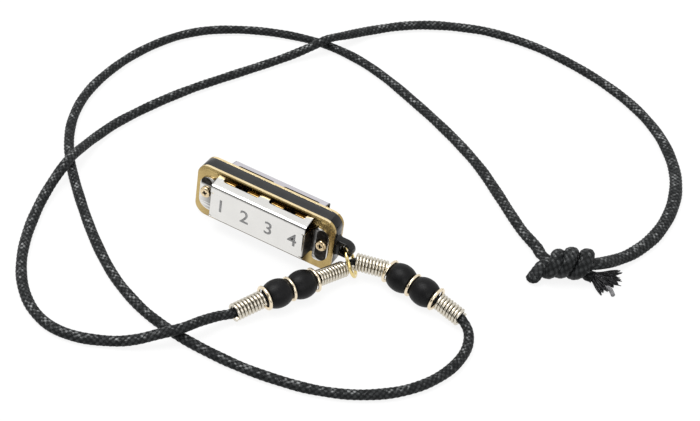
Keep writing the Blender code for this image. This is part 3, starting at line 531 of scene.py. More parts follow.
# cord: the same places as the CAD model's, x and y in millimetres and then, where the cord is
# raised, its height in cords on top of one another
cordLay = {
    "diameter": 2.2,
    "stepUp": 2.45,
    "left": (
        (6.1, -30.4, 0.55), (4.4, -34.6, 0.9), (2.6, -38.7, 1.0), (-0.4, -42.3, 0.8), (-4.2, -45.7, 0.3),
        (-8.4, -48.4), (-14.6, -51.4), (-20.9, -52.1), (-27.1, -50.0), (-32.8, -45.5), (-37.6, -39.4),
        (-41.7, -31.8), (-45.2, -22.7, 0.05), (-46.9, -15.1, 0.5), (-47.7, -7.7, 1.0), (-48.6, -0.4, 0.5),
        (-49.0, 6.0, 0.05), (-48.2, 13.0), (-45.5, 23.5), (-41.8, 34.1), (-37.5, 43.8), (-33.2, 53.1),
        (-29.7, 60.5, 0.1), (-26.4, 66.3, 0.6), (-24.1, 70.7, 1.0), (-21.9, 76.2, 0.6), (-18.9, 83.6, 0.05),
        (-13.5, 90.8), (-7.5, 96.3), (-0.3, 100.7), (7.8, 103.9), (20.4, 105.3), (35.1, 103.2),
        (48.4, 98.4), (59.0, 91.2), (66.6, 82.2), (71.0, 73.3), (73.2, 63.5), (73.3, 53.6), (71.5, 45.4),
        (69.3, 39.6, 0.3),
    ),
    "leftTail": ((56.3, 24.5, 0.55), (55.9, 23.1, 0.1), (55.7, 21.7)),
    "right": (
        (51.4, -1.4, 0.1), (53.2, -5.2), (53.7, -9.8), (53.0, -15.1), (50.8, -20.9), (47.0, -26.4),
        (41.6, -31.2), (35.6, -34.6), (28.3, -37.1), (17.2, -39.0), (4.9, -39.1), (-5.0, -37.7),
        (-12.6, -35.1), (-20.3, -31.0), (-29.7, -24.0), (-40.1, -14.7), (-49.1, -5.5), (-55.2, 3.0),
        (-58.9, 11.2), (-60.8, 19.4), (-61.2, 28.0), (-60.5, 36.4), (-58.7, 44.3), (-55.9, 51.3),
        (-52.0, 57.1), (-47.1, 61.7), (-41.0, 65.8), (-34.1, 69.0), (-26.7, 71.0), (-19.3, 71.3),
        (-12.0, 70.2), (-4.1, 67.7), (4.2, 64.2), (12.9, 60.2), (21.4, 55.7), (29.0, 50.9), (35.8, 45.5),
        (42.3, 40.0), (46.9, 36.3), (50.1, 34.3), (52.5, 32.8), (53.8, 31.5),
    ),
    # the threaded part's stops on each side, from the outer spring in: springs by share, beads by number
    "stops": (("outer", 0.45), ("outer", 0.2), 1.5, 1, 0, -0.5,
              ("inner", 0.15), ("inner", 0.55), ("inner", 0.9)),
    "bend": (21.1, 0.35, 2.85),
    "freeFrom": (0.452, 0.95),
    # how much of the plain end is rounded off where it was cut, and by how much
    "cut": {"from": 0.9965, "narrowed": 0.38, "power": 2.5},
}
knotLay = {
    "left": (56.35, 25.9), "right": (65.8, 33.15), "turns": 3, "gap": 0.1, "lean": 0.37, "leanTurn": 39.7,
    # how far the wraps have slipped, by turns: along the knot, up, and out to the front
    "slips": (((0, 0.5, 1, 1.5, 2, 2.5, 3), (0.9, -0.35, 0.5, -0.6, 0.1, 0.0, 0)),
              ((0, 0.5, 1, 1.5, 2, 2.5, 3), (0.18, 0, 0.18, 0.6, 0.18, 0, 0.18)),
              ((0, 0.5, 1.75, 2.25, 2.75, 3), (0, 0, 0, 0.45, 0, 0))),
    "pointsPerTurn": 48, "stationEvery": 6, "swell": 1.17, "flatten": 1.38,
    # the way in from the back and the way out to the front: cord diameters away, cord radii along
    "leadIn": ((1.75, 0.9), (1.15, 0.9), (0.5, 0.2)), "leadOut": ((0.6, 0.45), (1, 1.45)),
    # where the left strand goes through: shares of the way from right to left, and its last dip
    "through": (0.25, 0.7), "dip": 0.35,
}

# the two strung groups: inner bead's centre, heading outwards, the cord's spring ends, and where
# the inner spring's last coil is drawn up to the link ring
strung = {
    "left": {"bead": (15.9, -12.0), "heading": 243.3, "ringEnd": (20.62, -0.7, 2.2),
             "farEnd": (7.9, -27.6), "coilEnd": (20.62, -0.7, 2.2)},
    "right": {"bead": (32.6, 2.85), "heading": -8.6, "ringEnd": (21.85, 1.2, 3.5),
              "farEnd": (48.9, 0.45), "coilEnd": (21.4, 1.06, 3.52)},
}
beadSize = {"radius": 3.2, "half": 2.65, "swell": 3.8, "bore": 1.3, "pitch": 6.25, "edge": 0.18,
            "turn": 1.3}
spacerSize = {"ring": 2.48, "wire": 0.37, "lean": (6, 5, 7), "buttHalf": 0.02, "edge": 0.03,
              "firstTurn": 70, "nextTurn": 95}
springSize = {
    "radius": 1.95, "wire": 0.335, "coilPitch": 0.77, "reach": 0.475, "closing": 0.35, "perTurn": 30,
    "swell": {"left": {"inner": -0.06, "outer": 0.1}, "right": {"inner": 0.1, "outer": 0.1}},
}
cordRadius = cordLay["diameter"] / 2


def along(side):
    angle = radians(strung[side]["heading"])
    return Vector((cos(angle), sin(angle), 0))


def beadPlace(side, index):
    place = Vector(strung[side]["bead"]).to_3d() + along(side) * beadSize["pitch"] * index
    place.z = beadSize["radius"]
    return place


def springEnds(side, kind):
    if kind == "inner":
        return beadPlace(side, -0.5) - along(side) * springSize["reach"], Vector(strung[side]["ringEnd"])
    end = Vector(strung[side]["farEnd"]).to_3d()
    end.z = springSize["radius"]
    return beadPlace(side, 1.5) + along(side) * springSize["reach"], end


def inSpring(side, kind, share):
    start, end = springEnds(side, kind)
    return start.lerp(end, share)


def layRoute(route):
    return [Vector((x, y, cordRadius + sum(step) * cordLay["stepUp"])) for x, y, *step in route]


def knotAxis():
    lift = upward * (3 * cordRadius + knotLay["gap"])
    left, right = (Vector(knotLay[end]).to_3d() + lift for end in ("left", "right"))
    run = (right - left).normalized()
    return left, right, run, Vector((run.y, -run.x, 0))


def knotRoute():
    left, right, run, front = knotAxis()
    perTurn, d = knotLay["pointsPerTurn"], cordLay["diameter"]
    pitch = ((right - left).length - d) / knotLay["turns"]
    # the wraps lean along the knot from its lower front side to its upper back side
    leanTurn = radians(knotLay["leanTurn"])
    slope = upward * cos(leanTurn) - front * sin(leanTurn)
    wraps = []
    for index in range(knotLay["turns"] * perTurn + 1):
        angle = 2 * pi * index / perTurn
        across = (front * sin(angle) - upward * cos(angle)) * (d + knotLay["gap"])
        lean = across.dot(slope) * knotLay["lean"]
        slipAlong, slipUp, slipOut = (np.interp(index / perTurn, *slip) for slip in knotLay["slips"])
        spot = left + run * (cordRadius + pitch * index / perTurn + lean + slipAlong) + across
        wraps.append(spot + upward * slipUp + front * slipOut)
    leadIn = [wraps[0] - front * d * out + run * cordRadius * ahead for out, ahead in knotLay["leadIn"]]
    leadOut = [wraps[-1] + front * d * out + run * cordRadius * ahead for out, ahead in knotLay["leadOut"]]
    return leadIn, wraps, leadOut


def smoothPath(stations, perSpan=24):
    ends = [stations[0] * 2 - stations[1], *stations, stations[-1] * 2 - stations[-2]]
    path = []
    for index in range(len(stations) - 1):
        before, start, end, after = ends[index:index + 4]
        for step in range(perSpan):
            t = step / perSpan
            path.append((start * 2 + (end - before) * t
                         + (before * 2 - start * 5 + end * 4 - after) * t * t
                         + (start * 3 - before - end * 3 + after) * t ** 3) / 2)
    path.append(stations[-1])
    return path


def pathLength(path):
    return sum((b - a).length for a, b in zip(path, path[1:]))


def evenPath(path, step):
    # the path's points at even spacing and their distances along it
    spots = np.array([tuple(point) for point in path])
    runs = runLengths(spots)
    marks = np.linspace(0, runs[-1], max(3, int(round(runs[-1] / step))) + 1)
    return np.stack([np.interp(marks, runs, spots[:, axis]) for axis in range(3)], axis=1), marks


# broad gives shares of a cord's length and how much wider than high it lies there
braid = {
    "carriers": 6, "lay": 1.3, "step": 0.21, "around": 36, "relief": 0.15, "lumps": 0.05, "weave": 0.45,
    "riseFrom": 0.35, "riseOver": 1.1,
    "leftBroad": ((0, 0.02, 0.35, 0.51, 0.53, 0.63, 0.67, 0.75, 0.95, 1),
                  (1, 1.2, 1.2, 1.14, 1.5, 1.5, 1.36, 1.52, 1.58, 1.62)),
    "rightBroad": ((0, 0.02, 0.72, 0.75, 0.78, 0.82, 0.92, 1), (1, 1.16, 1.16, 1.34, 1.26, 1.5, 1.42, 1.55)),
}


def braidPattern(theta, marks, seed):
    # the surface of yarns that cross over and under: its rise, place across a yarn, and yarn shade
    wound, run = braid["carriers"] * theta[None, :] / (2 * pi), marks[:, None] / braid["lay"]
    p, q = wound + run + seed, wound - run + seed
    cellP, cellQ = np.floor(p + 1e-9), np.floor(q + 1e-9)
    acrossP, acrossQ = 2 * (p - cellP) - 1, 2 * (q - cellQ) - 1
    over = np.cos(pi * (q - 0.5)) * np.cos(pi * cellP)
    under = -np.cos(pi * (p - 0.5)) * np.cos(pi * cellQ)
    one = braid["weave"] * over + np.sqrt(np.clip(1 - acrossP ** 2, 0, 1))
    two = braid["weave"] * under + np.sqrt(np.clip(1 - acrossQ ** 2, 0, 1))
    rise = np.clip((np.maximum(one, two) - braid["riseFrom"]) / braid["riseOver"], 0, 1)
    across = np.where(one >= two, acrossP, acrossQ)
    yarn = np.where(one >= two, np.mod(cellP * 0.618, 1), np.mod(cellQ * 0.754 + 0.3, 1))
    return rise, across, yarn


def braidedTube(name, path, radius, flatten=1.0, axis=None, seed=0.0, shrink=None, broad=None):
    # a tube of real braid along a path in millimetres; axis fixes its broad side
    spots, marks = evenPath(path, braid["step"])
    count, around = len(spots), braid["around"]
    tangents = np.gradient(spots, axis=0)
    tangents /= np.linalg.norm(tangents, axis=1)[:, None]
    side = np.zeros_like(spots)
    current = np.cross(tangents[0], (0, 0, 1.0))
    for index, tangent in enumerate(tangents):
        if axis is not None:
            current = np.array(axis, float)
        current = current - tangent * current.dot(tangent)
        current /= np.linalg.norm(current)
        side[index] = current
    lift = np.cross(side, tangents)
    theta = np.arange(around) * 2 * pi / around
    rise, across, yarn = braidPattern(theta, marks, seed)
    lumps = (np.sin(marks / 3.1 + seed) + np.sin(marks / 7.3 + 1.7 + seed) + np.sin(marks / 1.37)) / 3
    size = radius * (1 - braid["lumps"] + braid["lumps"] * lumps)[:, None]
    share = marks / marks[-1]
    if shrink:
        size = size * shrink(share)[:, None]
    if broad:
        flatten = flatten * np.interp(share, *broad)[:, None]
    reach = size - braid["relief"] * (1 - rise) * (radius / cordRadius)
    places = (spots[:, None, :] + side[:, None, :] * (np.cos(theta)[None, :] * reach * flatten)[:, :, None]
              + lift[:, None, :] * (np.sin(theta)[None, :] * reach)[:, :, None])
    vertices = np.concatenate((places.reshape(-1, 3), spots[:1], spots[-1:])) * mm
    rows = np.arange(count - 1)[:, None] * around
    turn = np.arange(around)
    after = (turn + 1) % around
    a, b = (rows + turn).ravel(), (rows + after).ravel()
    faces = np.stack([a, b, b + around, a + around], axis=1).tolist()
    last = (count - 1) * around
    for here, ahead in zip(turn.tolist(), after.tolist()):
        faces += [[count * around, ahead, here], [count * around + 1, last + here, last + ahead]]
    mesh = bpy.data.meshes.new(name)
    mesh.from_pydata(vertices.tolist(), [], faces)
    for label, values in (("rise", rise), ("across", across), ("yarn", yarn)):
        layer = mesh.attributes.new(label, "FLOAT", "POINT")
        layer.data.foreach_set("value", np.append(values.ravel(), (0.3, 0.3)).astype(np.float32))
    piece = inEditMode(addPiece(name, mesh), faceOutward)
    bpy.ops.object.shade_smooth()
    return paint(piece, cordWaxed)


def cutEnd(share):
    cut = cordLay["cut"]
    return 1 - cut["narrowed"] * np.clip((share - cut["from"]) / (1 - cut["from"]), 0, 1) ** cut["power"]


def threadedStops(side):
    return [inSpring(side, *stop) if isinstance(stop, tuple) else beadPlace(side, stop)
            for stop in cordLay["stops"]]


def strandPath(side, knotStops):
    start = [inSpring(side, "outer", share) for share in cordLay["freeFrom"]]
    return smoothPath(start + layRoute(cordLay[side]) + knotStops)


def makeCords():
    left, right, run, front = knotAxis()
    leadIn, wraps, leadOut = knotRoute()
    corePath = smoothPath([*threadedStops("left"), Vector(cordLay["bend"]), *threadedStops("right")[::-1]])
    threaded = braidedTube("threadedCord", corePath, cordRadius, seed=0.4)
    hand(threaded, "necklace", "waxed_cotton", "cord_core")

    through = [right + run * cordRadius, *(right.lerp(left, share) for share in knotLay["through"]),
               left + run * cordRadius * 0.5 - upward * knotLay["dip"]]
    leftPath = strandPath("left", through + layRoute(cordLay["leftTail"]))
    leftCord = braidedTube("leftCord", leftPath, cordRadius, seed=1.3, broad=braid["leftBroad"],
                           shrink=cutEnd)
    hand(leftCord, "necklace", "waxed_cotton", "cord_left")
    rightPath = strandPath("right", leadIn[:1])
    rightCord = braidedTube("rightCord", rightPath, cordRadius, seed=2.1, broad=braid["rightBroad"])
    hand(rightCord, "necklace", "waxed_cotton", "cord_right")

    knotPath = smoothPath(leadIn + wraps[::knotLay["stationEvery"]] + leadOut, 12)
    knot = braidedTube("knotWraps", knotPath, cordRadius * knotLay["swell"], knotLay["flatten"],
                       tuple(run), 0.7)
    hand(knot, "necklace", "waxed_cotton", "knot")
    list(makeFrayedEnd())
    print("cords made:", *(round(pathLength(path), 1) for path in (leftPath, rightPath, knotPath)), "mm")


# the open end: its clumps of yarn by tip, each with its thickness at the root; a thread lies out
# from its clump's middle by shares of that thickness
frayed = {
    "root": (66.4, 31.9, 1.1),
    "tips": (
        (70.9, 38.0, 0.5, 0.36), (71.9, 37.2, 0.9, 0.3), (70.4, 36.6, 0.6, 0.42), (71.6, 35.8, 0.5, 0.42),
        (72.5, 35.0, 0.6, 0.36), (72.3, 33.9, 0.5, 0.42), (73.2, 32.9, 1.0, 0.32), (71.6, 33.2, 1.0, 0.46),
        (72.0, 31.9, 0.7, 0.46), (71.2, 30.9, 1.1, 0.5), (71.2, 29.9, 0.7, 0.42), (69.9, 28.7, 0.5, 0.46),
        (70.4, 28.2, 0.4, 0.42), (69.6, 34.6, 1.3, 0.4), (70.4, 32.2, 1.5, 0.5), (70.6, 29.0, 0.7, 0.5),
    ),
    "threads": 4, "threadRadius": 0.62, "lowest": 0.3, "bow": 0.35, "lengths": (-0.6, 0.35),
    "outBy": ((0.0, 1.65), (0.35, 0.72), (0.7, 0.72), (1.0, 0.42)),
    "pale": ((68.0, 31.7, 0.65), (70.2, 31.2, 0.6), (71.7, 30.6, 0.6), (72.9, 29.3, 0.6)),
    "paleRadius": 0.52,
}


def makeThread(tip, beside, bow, offset, thick):
    root = Vector(frayed["root"])
    run = tip - root
    stations = []
    for share, out in frayed["outBy"]:
        spot = root + run * share + beside * bow * sin(pi * share) + offset * thick * out
        if share == 1.0:
            spot += run.normalized() * random.uniform(*frayed["lengths"])
        spot.z = max(spot.z, frayed["lowest"])
        stations.append(spot)
    path = smoothPath(stations, 6)
    widths = [1 - 0.6 * (index / (len(path) - 1)) ** 4 for index in range(len(path))]
    return smoothBy(wirePiece("frayedYarn", path, thick * frayed["threadRadius"], 2, widths), 60)


def makeFrayedEnd():
    threads = []
    for *place, thick in frayed["tips"]:
        tip = Vector(place)
        beside = (tip - Vector(frayed["root"])).cross(upward).normalized()
        bow = random.uniform(-frayed["bow"], frayed["bow"])
        for index in range(frayed["threads"]):
            turn = 2 * pi * index / frayed["threads"] + random.uniform(0, 1)
            offset = beside * cos(turn) + upward * sin(turn)
            threads.append(makeThread(tip, beside, bow, offset, thick))
    brush = pick(threads[0])
    for thread in threads:
        thread.select_set(True)
    bpy.ops.object.join()
    brush.name = "frayedYarns"
    hand(paint(brush, yarnBlack), "necklace", "waxed_cotton", "frayed_tail")
    palePath = smoothPath([Vector(spot) for spot in frayed["pale"]], 10)
    pale = paint(braidedTube("innerYarn", palePath, frayed["paleRadius"], seed=0.2), yarnPale)
    return [brush, hand(pale, "necklace", "waxed_cotton")]


makeCords()


# beads, spacer rings and springs
def headTo(place, direction):
    return Matrix.Translation(place * mm) @ direction.to_track_quat("Z", "Y").to_matrix().to_4x4()


def makeBeads():
    size = beadSize
    bpy.ops.mesh.primitive_uv_sphere_add(segments=64, ring_count=48, radius=size["radius"] * mm,
                                         scale=(1, 1, size["swell"] / size["radius"]))
    bead = settle(bpy.context.object)
    for end in (-1, 1):
        inEditMode(bead, lambda: bpy.ops.mesh.bisect(
            plane_co=(0, 0, end * size["half"] * mm), plane_no=(0, 0, end), clear_outer=True,
            use_fill=True, threshold=0.00001 * mm))
    combine(bead, "DIFFERENCE", [addRod("boreCutter", size["bore"], 12)])
    breakEdges(bead, size["edge"], 3, 40)
    paint(smoothBy(bead, 40), beadBlack)
    for side in strung:
        for index in range(2):
            name = f"bead_{side}_{index + 1}"
            twin = addPiece(f"turnedBead_{side}_{index + 1}", bead.data.copy())
            turn = Matrix.Rotation(index * size["turn"], 4, "Z")
            placeBy(twin, headTo(beadPlace(side, index), along(side)) @ turn)
            hand(twin, name + "_on_cord", "bead_black", name)
    removePiece(bead)
    print("beads made")


def makeSpacers():
    size = spacerSize
    bpy.ops.mesh.primitive_torus_add(major_segments=96, minor_segments=20, major_radius=size["ring"] * mm,
                                     minor_radius=size["wire"] * mm)
    ring = settle(bpy.context.object)
    butt = addBlock("buttCutter", (1.5, -size["buttHalf"], -1), (3.5, size["buttHalf"], 1))
    breakEdges(combine(ring, "DIFFERENCE", [butt]), size["edge"], 1, 60)
    paint(smoothBy(ring, 50), spacerGold)
    for side in strung:
        for index, lean in enumerate(size["lean"]):
            name = f"spacer_ring_{side}_{index + 1}"
            twin = addPiece(f"wireSpacer_{side}_{index + 1}", ring.data.copy())
            turn = Matrix.Rotation(radians(size["firstTurn"] + size["nextTurn"] * index), 4, "Z")
            heading = (along(side) - upward * tan(radians(lean))).normalized()
            placeBy(twin, headTo(beadPlace(side, index - 0.5), heading) @ turn)
            hand(twin, name + "_on_cord", "spacer_gold", name)
    removePiece(ring)
    print("spacer rings made")


def makeSpring(side, kind):
    size = springSize
    start, end = springEnds(side, kind)
    swell, wire = size["swell"][side][kind], size["wire"]
    if kind == "outer":
        end.z += swell
    else:
        end = Vector(strung[side]["coilEnd"])
    length = (end - start).length - 2 * wire
    radius = size["radius"] - wire + swell
    turns = round(length / size["coilPitch"])
    points = []
    for index in range(turns * size["perTurn"] + 1):
        share = index / (turns * size["perTurn"])
        angle = 2 * pi * index / size["perTurn"]
        # the end coils close up against their neighbours
        eased = share - size["closing"] / turns * sin(2 * pi * share) / (2 * pi)
        points.append(Vector((radius * cos(angle), radius * sin(angle), wire + length * eased)))
    spring = smoothBy(wirePiece(f"coilSpring_{side}_{kind}", points, wire, 3), 50)
    placeBy(paint(spring, springNickel), headTo(start, end - start))
    node = f"spring_{side}_{kind}"
    hand(spring, node + "_on_cord", "spring_nickel", node)


makeBeads()
makeSpacers()
for side in strung:
    for kind in ("inner", "outer"):
        makeSpring(side, kind)
print("springs made")

# link ring; its two ends meet at the butt
linkRing = {
    "outer": 7.8, "wire": 0.8, "heading": 24.0, "drop": 0.25, "butt": 0.08, "lug": (19.7, 0.0, 7.0),
    "twist": -6.0, "buttAt": 70, "steps": 144,
}


def makeLinkRing():
    size = linkRing
    top = Vector(size["lug"]) - upward * size["drop"]
    radius = (size["outer"] - size["wire"]) / 2
    lean = acos(min(1, (top.z - size["wire"] / 2) / (2 * radius)))
    turn = radians(size["heading"])
    down = Vector((sin(lean) * cos(turn), sin(lean) * sin(turn), -cos(lean)))
    across = Matrix.Rotation(radians(size["twist"]), 3, down) @ Vector((-sin(turn), cos(turn), 0))
    whole = 2 * pi - size["butt"] / radius
    points = []
    for index in range(size["steps"] + 1):
        angle = radians(size["buttAt"]) + whole * index / size["steps"]
        points.append(top + down * radius + (down * cos(angle) + across * sin(angle)) * radius)
    ring = smoothBy(wirePiece("wireLinkRing", points, size["wire"] / 2, 6), 50)
    hand(paint(ring, linkGold), "link", "link_gold", "link_ring")
    print("link ring made")


makeLinkRing()

# harmonica: comb
harp = {
    "length": 35.0, "height": 14.0, "comb": 2.8, "corner": 2.8,
    "cells": (-9.15, -3.05, 3.05, 9.15), "cellWidth": 4.4, "cellDepth": 11.2, "cellCorner": 0.7,
    "plate": 0.6, "seat": 0.03, "setback": 0.15, "glossEnds": 1.9,
    "combEdge": 0.09, "lugEdge": 0.45, "plateEdge": 0.07, "brightTop": 13.7,
    "screwX": 14.8, "screwZ": 7.1, "shank": 0.55, "shankGap": 0.05,
    "lugRadius": 1.95, "lugHalf": 1.0, "lugFillet": 1.0, "lugHole": 1.25, "lugRoot": 0.06,
}
halfStack = harp["comb"] / 2 + harp["seat"] + harp["plate"]


def lugOutline():
    middle, fillet, radius = harp["height"] / 2, harp["lugFillet"], harp["lugRadius"]
    root = harp["length"] / 2 - harp["lugRoot"]
    flare = radius + fillet
    return [(root - 1, middle - flare), *arcPoints((root + fillet, middle - flare), fillet, pi, pi / 2, 8),
            *arcPoints((linkRing["lug"][0], middle), radius, -pi / 2, pi / 2, 24),
            *arcPoints((root + fillet, middle + flare), fillet, -pi / 2, -pi, 8), (root - 1, middle + flare)]


def makeComb():
    half, depth = harp["length"] / 2, harp["comb"] / 2
    comb = addBlock("combBody", (-half, -depth, 0), (half, depth, harp["height"]))
    bevelWhere(comb, sameXZ, harp["corner"], 14)
    cutters = []
    for x in harp["cells"]:
        cell = addBlock("cellCutter", (x - harp["cellWidth"] / 2, -3, -2),
                        (x + harp["cellWidth"] / 2, 3, harp["cellDepth"]))
        cutters.append(bevelWhere(cell, lambda a, b: sameXZ(a, b) and a.z > 5, harp["cellCorner"], 6))
    for end in (-1, 1):
        cutters.append(addRod("pilotCutter", harp["shank"] + harp["shankGap"], 8,
                              (end * harp["screwX"], 0, harp["screwZ"]), alongY))
    combine(comb, "DIFFERENCE", cutters)

    lug = flatPiece("eyeletLug", [lugOutline()], 2 * harp["lugHalf"])
    inEditMode(lug, lambda: bpy.ops.mesh.dissolve_limited(angle_limit=radians(1)))
    breakEdges(placeBy(lug, standUp), harp["lugEdge"], 4, 60)
    combine(lug, "DIFFERENCE", [addRod("lugHoleCutter", harp["lugHole"], 6, linkRing["lug"], alongY)])
    breakEdges(combine(comb, "UNION", [lug]), harp["combEdge"])
    paint(comb, combSatin, lugGloss)
    for face in comb.data.polygons:
        face.material_index = int(abs(face.center.x) > (half - harp["glossEnds"]) * mm)
    hand(smoothBy(comb, 40), "harmonica", "comb_plastic", "comb")
    print("comb made")


# harmonica: reed plates, reeds and pads
reeds = {
    "width": 1.8, "length": 6.45, "shorter": 0.35, "thick": 0.12, "offset": 0.06, "slotGap": 0.1,
    "tip": 0.78, "tipCorner": 0.2, "edge": 0.02, "padEdge": 0.1, "headEdge": 0.09, "rivetGap": 0.05,
    "padWidth": 3.1, "padHeight": 1.6, "padOver": 0.25, "padThick": 0.45,
    "rivet": 0.45, "rivetHead": 0.7, "headHeight": 0.15, "padTop": {"front": 12.0, "rear": 10.9},
}
stamps = {"x": (-11.8, 0.0, 11.8), "half": 0.8, "low": 12.85, "high": 13.15, "depth": 0.12}


def reedLength(index):
    return reeds["length"] - index * reeds["shorter"]


def makePlate(face, side):
    half, low, high, corner = harp["length"] / 2, harp["setback"], harp["height"], harp["corner"]
    padTop = reeds["padTop"][face]
    root = padTop - reeds["padHeight"]
    loops = [roundedOutline([(-half, low, corner), (half, low, corner), (half, high, corner),
                             (-half, high, corner)], 14)]
    loops += [circleOutline((end * harp["screwX"], harp["screwZ"]), harp["shank"] + harp["shankGap"])
              for end in (-1, 1)]
    slotHalf = reeds["width"] / 2 + reeds["slotGap"]
    for index, x in enumerate(harp["cells"]):
        tip = root - reedLength(index) - 2 * reeds["slotGap"]
        loops.append([(x - slotHalf, tip), (x + slotHalf, tip), (x + slotHalf, root), (x - slotHalf, root)])
        loops.append(circleOutline((x, padTop - reeds["padHeight"] / 2), reeds["rivet"] + reeds["rivetGap"],
                                   24))
    plate = flatPiece(f"brassPlate_{face}", loops, harp["plate"])
    middle = harp["comb"] / 2 + harp["seat"] + harp["plate"] / 2
    placeBy(plate, Matrix.Translation((0, side * middle * mm, 0)) @ standUp)
    if face == "front":
        combine(plate, "DIFFERENCE", [
            addBlock("stampCutter", (x - stamps["half"], -halfStack - 1, stamps["low"]),
                     (x + stamps["half"], -halfStack + stamps["depth"], stamps["high"]))
            for x in stamps["x"]])
    paint(smoothBy(breakEdges(plate, harp["plateEdge"]), 40), plateBrass, paintedHighlightBrass)
    # painted highlight: the plate's narrow top faces get a lighter brass
    for part in plate.data.polygons:
        part.material_index = int(abs(part.normal.y) < 0.6 and part.center.z > harp["brightTop"] * mm)
    hand(plate, "harmonica", "plate_brass", f"reed_plate_{face}")


def makeReed(face, index, x, faceY):
    number = index + 1
    padTop = reeds["padTop"][face]
    root = padTop - reeds["padHeight"]
    wide, near, far = reeds["width"] / 2, -reeds["slotGap"], -reedLength(index)
    outline = roundedOutline([(-wide, near, 0), (-reeds["tip"], far, reeds["tipCorner"]),
                              (reeds["tip"], far, reeds["tipCorner"]), (wide, near, 0)], 4)
    tongue = flatPiece(f"reedTongue_{face}_{number}", [outline], reeds["thick"])
    y = faceY - reeds["offset"] - reeds["thick"] / 2
    placeBy(tongue, Matrix.Translation((x * mm, y * mm, root * mm)) @ standUp)
    smoothBy(breakEdges(tongue, reeds["edge"], 1), 40)
    hand(paint(tongue, reedBrass), f"reed_{face}_{number}_tongue", "reed_brass", f"reed_{face}_{number}")

    inner = faceY - harp["seat"]
    middle = padTop - reeds["padHeight"] / 2
    pad = addBlock(f"reedFoot_{face}_{number}", (x - reeds["padWidth"] / 2, inner - reeds["padThick"], root),
                   (x + reeds["padWidth"] / 2, inner, padTop + reeds["padOver"]))
    breakEdges(pad, reeds["padEdge"])
    top = reeds["padThick"] + reeds["headHeight"]
    length = harp["plate"] + harp["seat"] + top - reeds["rivetGap"]
    rivet = addRod("rivetShank", reeds["rivet"], length, (x, inner - top + length / 2, middle), alongY, 32)
    head = addRod("rivetHead", reeds["rivetHead"], 2 * reeds["headHeight"],
                  (x, inner - top + reeds["headHeight"], middle), alongY, 32)
    outerY = inner - top + tolerance["side"]
    bevelWhere(head, lambda a, b: abs(a.y - b.y) < tolerance["same"] and a.y < outerY, reeds["headEdge"], 3)
    smoothBy(combine(pad, "UNION", [rivet, head]), 40)
    hand(paint(pad, reedBrass), "harmonica", "reed_brass", f"reed_pad_{face}_{number}")


# harmonica: covers
cover = {
    "sheet": 0.3, "rise": 3.5, "half": 12.0, "mouth": 3.4, "back": 12.4, "fold": 0.5, "wallLean": 0.75,
    "neckLow": -3.7, "neckHigh": 2.5, "neckFold": 0.5, "slant": 0.5, "relief": 0.22, "reliefDepth": 0.75,
    "flangeLow": -5.6, "flangeHigh": 3.5, "flangeEnd": 16.5, "foldMargin": 0.08, "holeGap": 0.1,
    "flangeFrom": 0.5, "flangeCorners": (0.9, 2.5, 0.8), "edge": 0.05,
    "slotStart": 1.2, "slotEnd": 10.4, "slotCorner": 0.6, "slotDepth": {"front": 1.3, "rear": 1.6},
    # the end walls' painted dark reflection: where it starts and ends across the harmonica, and over how much
    # it fades
    "paintedDark": {"start": 11.8, "startFade": 0.2, "end": 13.2, "endFade": 0.4},
}


def bendLine(corners, steps=8):
    # an open path of (run, rise) with its inner corners rounded, and its length at each point
    points = [corners[0]]
    for before, corner, after in zip(corners, corners[1:], corners[2:]):
        points += cornerArc(before, corner, after, corner[2], steps)
    points = np.array([*points, corners[-1]])
    return points, runLengths(points)


def markPaintedReflection(sheet):
    # painted dark reflection on the end walls
    paintedDark = cover["paintedDark"]
    layer = sheet.data.attributes.new("paintedReflection", "FLOAT", "POINT")
    for vertex, value in zip(sheet.data.vertices, layer.data):
        x = abs(vertex.co.x) / mm
        value.value = (min(1, max(0, (x - paintedDark["start"]) / paintedDark["startFade"]))
                       * min(1, max(0, (paintedDark["end"] - x) / paintedDark["endFade"])))


def mirrorCorners(corners):
    return [(-x, y, radius) for x, y, radius in reversed(corners)]


def coverOutline(face, reach, flangeStart, flangeEnd):
    # the flat sheet before it is folded; reach is half its width where the walls are
    size = cover
    half, low, high, relief = size["half"], size["neckLow"], size["neckHigh"], size["relief"]
    inner = half - size["reliefDepth"]
    slotFloor, slotCorner = reach - size["slotDepth"][face], size["slotCorner"]
    lowCorner, endCorner, highCorner = size["flangeCorners"]
    rightSide = [(half, -reach, 0), (half, low - relief, 0), (inner, low - relief, 0), (inner, low, 0),
                 (flangeStart, low, 0), (flangeStart, size["flangeLow"], lowCorner),
                 (flangeEnd, size["flangeLow"], endCorner), (flangeEnd, size["flangeHigh"], endCorner),
                 (flangeStart, size["flangeHigh"], highCorner), (flangeStart, high, 0), (inner, high, 0),
                 (inner, high + relief, 0), (half, high + relief, 0), (half, reach, 0)]
    backEdge = [(size["slotEnd"], reach, 0), (size["slotEnd"], slotFloor, slotCorner),
                (size["slotStart"], slotFloor, slotCorner), (size["slotStart"], reach, 0)]
    return roundedOutline(rightSide + backEdge + mirrorCorners(backEdge) + mirrorCorners(rightSide), 8)


